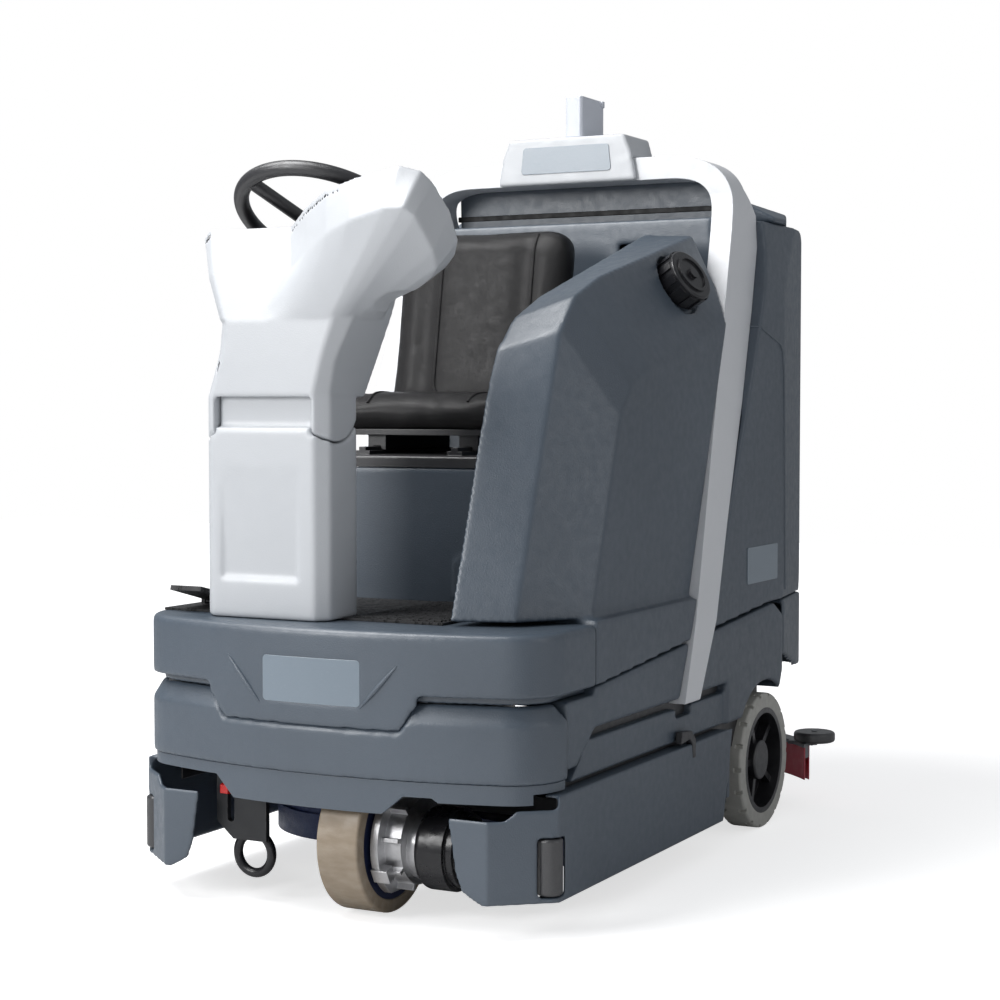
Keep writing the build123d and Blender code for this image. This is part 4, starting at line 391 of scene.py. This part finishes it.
# ---------------------------------------------------------------- squeegee
# A painted arm and levelling carrier hold a grey frame. It clamps red rubber blades, and has a
# black roller at each end that runs along walls.
painted("squeegee_paint", (0.15, 0.155, 0.165), 0.4)
rubber("blade_rubber", (0.52, 0.022, 0.055), (0.62, 0.08, 0.1), 0.38, depth=0.0003)
for node in ("squeegee_arm", "squeegee_carrier", "squeegee_blade"):
    bevelled(node)
bevelled("squeegee_frame", 0.0012)
for hand in ("left", "right"):
    bevelled("guide_roller_" + hand)


# ---------------------------------------------------------------- nose, footwell and belts
# Mouldings of grained blue polyethylene, screwed to the chassis: the nose with the footwell floor,
# the bumper, the apron under it, the side belts and the rear panel. Two slanted ridges stand
# beside the nose's bare label plate. A rubber mat and the rubber-faced pedal lie in the footwell.
def ribbed(name, colour):
    """Rubber mat: a mesh of small round holes, darkened inside by painted shade."""
    f = Finish(name)
    hole_depth_and_shade = f.cells(95.0, stretch=(1, 1, 0.01)).ranged(0.25, 0.45)
    # Painted shade: the floors of the holes are darker than the mat's top, as if shaded.
    f.set("Base Color", hole_depth_and_shade.blend(tuple(c * 0.3 for c in colour), tuple(c * 1.6 for c in colour)))
    f.set("Roughness", f.noise(60.0).ranged(0.3, 0.7, 0.55, 0.8))
    f.relief(hole_depth_and_shade + f.noise(300.0) * 0.2, 0.002)
    FINISHES[name] = f.material


def corded(name, line, way, skin, node, radius=0.0035, ends=1.0):
    """A raised cord on a skin: a line dropped on it in a direction, thinner towards its ends."""
    points = []
    for spot in line:
        hit = skin.ray_cast(Vector(spot) - Vector(way) * 0.2, Vector(way))
        if hit[0] is not None:
            points.append(hit[0])
    curve = bpy.data.curves.new(name, "CURVE")
    curve.dimensions = "3D"
    curve.bevel_depth = radius
    curve.bevel_resolution = 3
    curve.use_fill_caps = True
    spline = curve.splines.new("POLY")
    spline.points.add(len(points) - 1)
    for number, (point, spot) in enumerate(zip(spline.points, points)):
        point.co = (*spot, 1.0)
        point.radius = ends + (1 - ends) * sin(pi * number / (len(points) - 1))
    piece = bpy.data.objects.new(name, curve)
    bpy.context.scene.collection.objects.link(piece)
    fixed(piece, BODY[node], SLOT[node])


def straight(start, end, count=24):
    """Points spaced evenly from start to end."""
    return np.linspace(start, end, count).tolist()


def skin_of(name):
    """The surface of a finished piece, for rays to meet."""
    return BVHTree.FromObject(bpy.data.objects[name], DEPS())


moulded("body_plastic", BLUE, BLUE_PALE, 0.42)
glossy("label_film", (0.20, 0.245, 0.29), 0.3)
ribbed("mat_rubber", (0.012, 0.012, 0.013))
metal("screw_steel", (0.55, 0.55, 0.56), 0.35)
painted("loop_black", (0.008, 0.008, 0.010), 0.25)
melted("nose_moulding", ["front_cover"], 0.0045, 7)
melted("bumper_moulding", ["front_bumper"], 0.0045, 7)
bevelled("front_apron", 0.003)
melted("rear_moulding", ["rear_panel"], 0.0045, 5, 60000)
for hand in ("left", "right"):
    melted("belt_" + hand, ["side_belt_" + hand], 0.0045, 5, 60000)
for node in ("floor_mat", "accelerator_pedal", "cover_screws", "tie_down_loop"):
    bevelled(node)
bevelled("label_plates", 0.0006)
RIDGE_RIGHT = straight((-0.187, -0.868, 0.480), (-0.112, -0.868, 0.398))
RIDGE_LEFT = straight((0.176, -0.868, 0.479), (0.104, -0.868, 0.400))
nose = skin_of("nose_moulding")
for side, ridge in (("right", RIDGE_RIGHT), ("left", RIDGE_LEFT)):
    corded("nose_ridge_" + side, ridge, (0, 1, 0), nose, "front_cover", 0.0045, 0.3)


# ---------------------------------------------------------------- solution tank
# The tall wing beside the driver is a blue polyethylene tank, with creased faces and a black cap
# with lugs screwed on its filler neck over a rubber seal.
def sky_ways(count=40, turn=2.4):
    """Directions spread over a sphere: each goes a turn round and a step up from the last."""
    step = np.arange(count)
    height = 2 * (step + 0.5) / count - 1
    level = np.sqrt(1 - height ** 2)
    ways = np.stack([level * np.cos(step * turn), level * np.sin(step * turn), height], axis=1)
    return [Vector(way) for way in ways]


def outer_skin(piece):
    """Drop the faces of closed hollows, which few rays leave, and close what that opens."""
    bm = bmesh.new()
    bm.from_mesh(piece.data)
    bmesh.ops.triangulate(bm, faces=bm.faces)
    tree = BVHTree.FromBMesh(bm)
    inner = []
    for face in bm.faces:
        spot = face.calc_center_median() + face.normal * 5e-4
        rays = [way for way in SKY_WAYS if way.dot(face.normal) > 0.15]
        free = sum(tree.ray_cast(spot, way)[0] is None for way in rays)
        if free < 0.08 * len(rays):
            inner.append(face)
    bmesh.ops.delete(bm, geom=inner, context="FACES")
    bmesh.ops.holes_fill(bm, edges=bm.edges, sides=0)
    bm.to_mesh(piece.data)
    bm.free()


SKY_WAYS = sky_ways()
rubber("seal_rubber", (0.006, 0.006, 0.007), (0.02, 0.02, 0.02), 0.6)
glossy("cap_plastic", (0.008, 0.008, 0.010), 0.32)
melted("wing_moulding", ["solution_tank"], 0.005, 6, 180000, outer_skin)
bevelled("cap_seal")
bevelled("fill_cap", 0.0016)

# ---------------------------------------------------------------- recovery tank
# The rear tank is a blue polyethylene moulding with a crease on each side, a hinged lid, and a
# collar that stands up behind the hoop's crossbar on a black seal. Its spigots are pale plastic.
moulded("port_plastic", (0.60, 0.63, 0.70), (0.70, 0.73, 0.78), 0.42)
melted("tank_moulding", ["recovery_tank"], 0.0055, 8)
melted("lid_moulding", ["tank_lid"], 0.005, 6, 60000)
bevelled("tank_ports")
COLLAR = [(0.297, 1.335), (0.293, 1.436), (0.297, 1.446), (0.303, 1.440), (0.304, 1.335)]
COLLAR_SEAL = [(0.294, 1.372), (0.294, 1.384), (0.306, 1.384), (0.306, 1.372)]
pressed("tank_collar", COLLAR, (-0.325, 0.325), "recovery_tank")
pressed("collar_seal", COLLAR_SEAL, (-0.332, 0.332), "recovery_tank", "seal_rubber")
tank = skin_of("tank_moulding")
for hand in (-1, 1):
    x = hand * 0.44
    crease = (straight((x, 0.215, 1.128), (x, 0.400, 1.078))
              + straight((x, 0.418, 1.062), (x, 0.425, 1.03))
              + straight((x, 0.428, 1.01), (x, 0.452, 0.52)))
    corded(f"tank_crease_{hand + 1}", crease, (-hand, 0, 0), tank, "recovery_tank", 0.0028)

# ---------------------------------------------------------------- hoop
# One bent steel tube with a flat section, painted pale grey, goes up both sides and over the
# machine. Its CAD lengths are joined, and the faces between them dropped. A pale plastic housing
# sits on its crossbar and carries the beacon post.
moulded("hoop_paint", (0.70, 0.715, 0.74), (0.76, 0.77, 0.79), 0.38, depth=0.0002, speckle=0.08)
moulded("column_plastic", (0.52, 0.54, 0.565), (0.59, 0.605, 0.63), 0.40, depth=0.0002, speckle=0.05)
HOOP_NODES = ["hoop_left", "hoop_top", "hoop_right"]
hoop = welded("hoop_tube", *HOOP_NODES)
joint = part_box("hoop_top")[1][0]
bm = bmesh.new()
bm.from_mesh(hoop.data)
cut = []
for face in bm.faces:
    off_joint = abs(abs(face.calc_center_median().x) - joint)
    if off_joint < 1e-4 and abs(face.normal.x) > 0.99:
        cut.append(face)
bmesh.ops.delete(bm, geom=cut, context="FACES")
flats_joined(bm)
bm.to_mesh(hoop.data)
bm.free()
rounded(hoop, 0.009, 4)
dressed(modified(hoop), *HOOP_NODES)
melted("badge_housing", ["hoop_plate"], 0.004, 9, 40000)
bevelled("beacon_post", 0.0015)


# ---------------------------------------------------------------- seat
# A blue plastic box carries a black deck that tilts forward. The seat on it has a black plastic
# shell, and foam pads covered in black vinyl with stitched channels and piping.
def vinyl(name, colour):
    """Grained upholstery vinyl: leather cells, creases and a soft sheen."""
    f = Finish(name, {"Specular IOR Level": 0.3})
    cells = f.cells(520.0, "DISTANCE_TO_EDGE").ranged(0.0, 0.12)
    crease = f.noise(28.0, 5.0).ranged(0.35, 0.65)
    f.set("Base Color", (crease * 0.5).blend(colour, tuple(c * 1.9 for c in colour)))
    f.set("Roughness", f.noise(40.0).ranged(0.3, 0.7, 0.28, 0.42))
    f.relief(cells * 0.5 + crease * 0.6, 0.0004)
    FINISHES[name] = f.material


def inflated(node, shrink, pressure, cap):
    """A cushion blown up from its CAD block by cloth simulation, with its growth capped."""
    piece = welded(node + "_pad", node)
    centre = Vector(np.array(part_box(node)).mean(axis=0))
    for vertex in piece.data.vertices:
        vertex.co = centre + (vertex.co - centre) * shrink
    remesh = piece.modifiers.new("skin", "REMESH")
    remesh.mode = "VOXEL"
    remesh.voxel_size = 0.0055
    smooth = piece.modifiers.new("soft", "SMOOTH")
    smooth.iterations = 10
    modified(piece)
    start = np.array([v.co[:] for v in piece.data.vertices])
    cloth = piece.modifiers.new("cloth", "CLOTH")
    cloth.settings.use_pressure = True
    cloth.settings.uniform_pressure_force = pressure
    cloth.settings.effector_weights.gravity = 0
    cloth.settings.quality = 5
    for step in range(1, 21):
        bpy.context.scene.frame_set(step)
    modified(piece)
    bpy.context.scene.frame_set(1)
    end = np.array([v.co[:] for v in piece.data.vertices])
    move = end - start
    far = np.linalg.norm(move, axis=1, keepdims=True)
    return piece, start + move * np.minimum(1.0, cap / np.maximum(far, 1e-9))


def gathered(points, seams, depth, width):
    """Pull points in along seams; a seam gives each point's distance from it and the way in."""
    for distance, way in seams:
        pull = np.exp(-(distance(points) / width) ** 2)
        points = points + pull[:, None] * depth * np.array(way)
    return points


def broadened(points, low, high):
    """Spread a cushion's open side outwards: nothing at its left edge, SEAT_REACH at its right."""
    share = (high[0] - points[:, 0]) / (high[0] - low[0])
    wide = points.copy()
    wide[:, 0] -= SEAT_REACH * share
    return wide


def upholstered(node, seams, depth, width, piping):
    """A finished cushion: the blown pad, its seams, one subdivision, and its piping."""
    piece, end = inflated(node, 0.98, 2.0, 0.009)
    end = gathered(end, seams, depth, width)
    low, high = (np.array(corner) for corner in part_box(node))
    end = broadened(np.clip(end, low - 0.006, high + 0.006), low, high)
    piece.data.vertices.foreach_set("co", end.ravel())
    soft = piece.modifiers.new("soft", "SMOOTH")
    soft.iterations = 60
    piece.modifiers.new("fine", "SUBSURF").levels = 1
    modified(piece)
    piece.data.shade_smooth()
    dressed(piece, node)
    skin = skin_of(piece.name)
    for number, (line, way) in enumerate(piping):
        corded(f"{node}_piping_{number}", line, way, skin, node)


def panel_line(x, half, z0, z1, corner):
    """Round three sides of a rectangle in the XZ plane, from top left past the bottom to top right."""
    left = [(x - half, 0.0, z) for z in np.linspace(z1, z0 + corner, 30)]
    bend = np.linspace(0, pi / 2, 12)
    turn = [(x - half + corner - corner * cos(a), 0.0, z0 + corner - corner * sin(a)) for a in bend]
    right = [(2 * x - px, py, pz) for px, py, pz in (left + turn)[::-1]]
    return left + turn + right


moulded("seat_plastic", (0.008, 0.008, 0.010), (0.02, 0.02, 0.024), 0.4)
vinyl("seat_vinyl", (0.010, 0.0095, 0.010))
melted("seat_box", ["seat_base"], 0.0045, 4, 60000)
bevelled("seat_deck", 0.003)
bevelled("seat_shell", 0.004, 3)
SEAT_REACH = 0.045
SEAT_X = (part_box("seat_back")[0][0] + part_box("seat_back")[1][0]) / 2
AWAY = 9  # puts the points past a seam's end out of its reach


def back_channel(p):
    """Distance from the two upright channels, on the back's front face only."""
    return np.abs(np.abs(p[:, 0] - SEAT_X) - 0.105) + AWAY * (p[:, 1] > 0.085)


def pad_channel(p):
    """Distance from the two channels that run fore and aft, on the cushion's top only."""
    return np.abs(np.abs(p[:, 0] - SEAT_X) - 0.115) + AWAY * (p[:, 2] < 0.93)


def pad_pinch(p):
    """Distance from the pinch in the cushion's front edge."""
    return np.hypot(p[:, 0] - SEAT_X - 0.05, 0.3 * (p[:, 2] - 0.95)) + AWAY * (p[:, 1] > -0.25)


back_piping = [(panel_line(SEAT_X, 0.112, 0.945, 1.315, 0.05), (0, 1, 0))]
pad_piping = []
for x in (SEAT_X - 0.12, SEAT_X + 0.12):
    pad_piping.append((straight((x, -0.28, 1.1), (x, -0.02, 1.1), 30), (0, 0, -1)))
upholstered("seat_back", [(back_channel, (0, 0.9, 0))], 0.012, 0.016, back_piping)
pad_seams = [(pad_channel, (0, 0, -0.9)), (pad_pinch, (0, 1.2, -0.4))]
upholstered("seat_cushion", pad_seams, 0.008, 0.018, pad_piping)

# ---------------------------------------------------------------- steering column
# A pale plastic column in two mouldings: a base screwed to the nose, and a head that tilts on it.
# The head carries a black panel with a key switch and two buttons, and the steering wheel.
glossy("panel_plastic", (0.012, 0.013, 0.016), 0.3)
moulded("wheel_plastic", (0.009, 0.009, 0.011), (0.02, 0.02, 0.024), 0.36, 700.0)
glossy("start_green", (0.01, 0.22, 0.04), 0.25)
metal("key_steel", (0.7, 0.7, 0.71), 0.15)
melted("base_moulding", ["column_base"], 0.004, 9, 90000)
melted("head_moulding", ["column_head"], 0.0028, 14, 190000)
for node in ("control_panel", "key_switch", "stop_button", "start_button"):
    bevelled(node)
bevelled("steering_wheel", 0.0015)

# ---------------------------------------------------------------- camera, light and floor
# A studio: soft lights from the front, above and the side, a plain world, and a white paper floor.
camera_data = bpy.data.cameras.new("camera")
camera_data.lens = 73.19
camera_data.sensor_width = 36.0
camera = bpy.data.objects.new("camera", camera_data)
camera.location = (1.9978, -3.9573, 0.9499)
camera.rotation_euler = (radians(90 - 2.794), 0, radians(27.5523))
bpy.context.scene.collection.objects.link(camera)
bpy.context.scene.camera = camera


def softbox(name, place, target, size, power):
    """Rectangular area light that faces a target."""
    data = bpy.data.lights.new(name, "AREA")
    data.shape = "RECTANGLE"
    data.size, data.size_y = size
    data.energy = power
    lamp = bpy.data.objects.new(name, data)
    lamp.location = place
    lamp.rotation_euler = (Vector(target) - Vector(place)).to_track_quat("-Z", "Y").to_euler()
    bpy.context.scene.collection.objects.link(lamp)


softbox("key", (-2.2, -4.6, 2.6), (0, -0.2, 0.8), (1.8, 1.8), 120)
softbox("top", (-1.6, -1.5, 4.2), (0, -0.2, 0.9), (2.4, 2.4), 165)
softbox("side", (4.6, -0.6, 2.2), (0.2, 0, 0.7), (1.6, 2.6), 15)
softbox("low", (1.2, -4.4, 0.5), (0, -0.4, 0.4), (2.6, 0.8), 7)

# The world is white to the camera, and a dim grey to the object.
world = bpy.data.worlds.new("studio")
bpy.context.scene.world = world
world.use_nodes = True
seen = shader_node(world.node_tree, "LightPath", {}, {}, "Is Camera Ray")
backdrop = seen.blend((0.30, 0.31, 0.325), (1.0, 1.0, 1.0))
feed(backdrop, world.node_tree.nodes["Background"].inputs["Color"])

# The paper glows to the camera alone, more with distance, so that it keeps the shadow.
floor = mesh_object("floor", [(-9, -9, 0), (9, -9, 0), (9, 9, 0), (-9, 9, 0)], [(0, 1, 2, 3)])
paper = Finish("paper", {"Roughness": 0.9, "Emission Strength": 1.0})
paper.set("Base Color", paper.noise(1.5).blend((0.68, 0.68, 0.685), (0.70, 0.70, 0.70)))
reach = paper.node("VectorMath", {"operation": "LENGTH"}, {0: paper.place()}, "Value")
glow = reach.ranged(1.3, 3.5, 0.66, 1.0) * paper.node("LightPath", outlet="Is Camera Ray")
paper.set("Emission Color", glow.blend((0.0, 0.0, 0.0), (1.0, 1.0, 1.0)))
floor.data.materials.append(paper.material)

bpy.context.scene.view_settings.view_transform = "Standard"
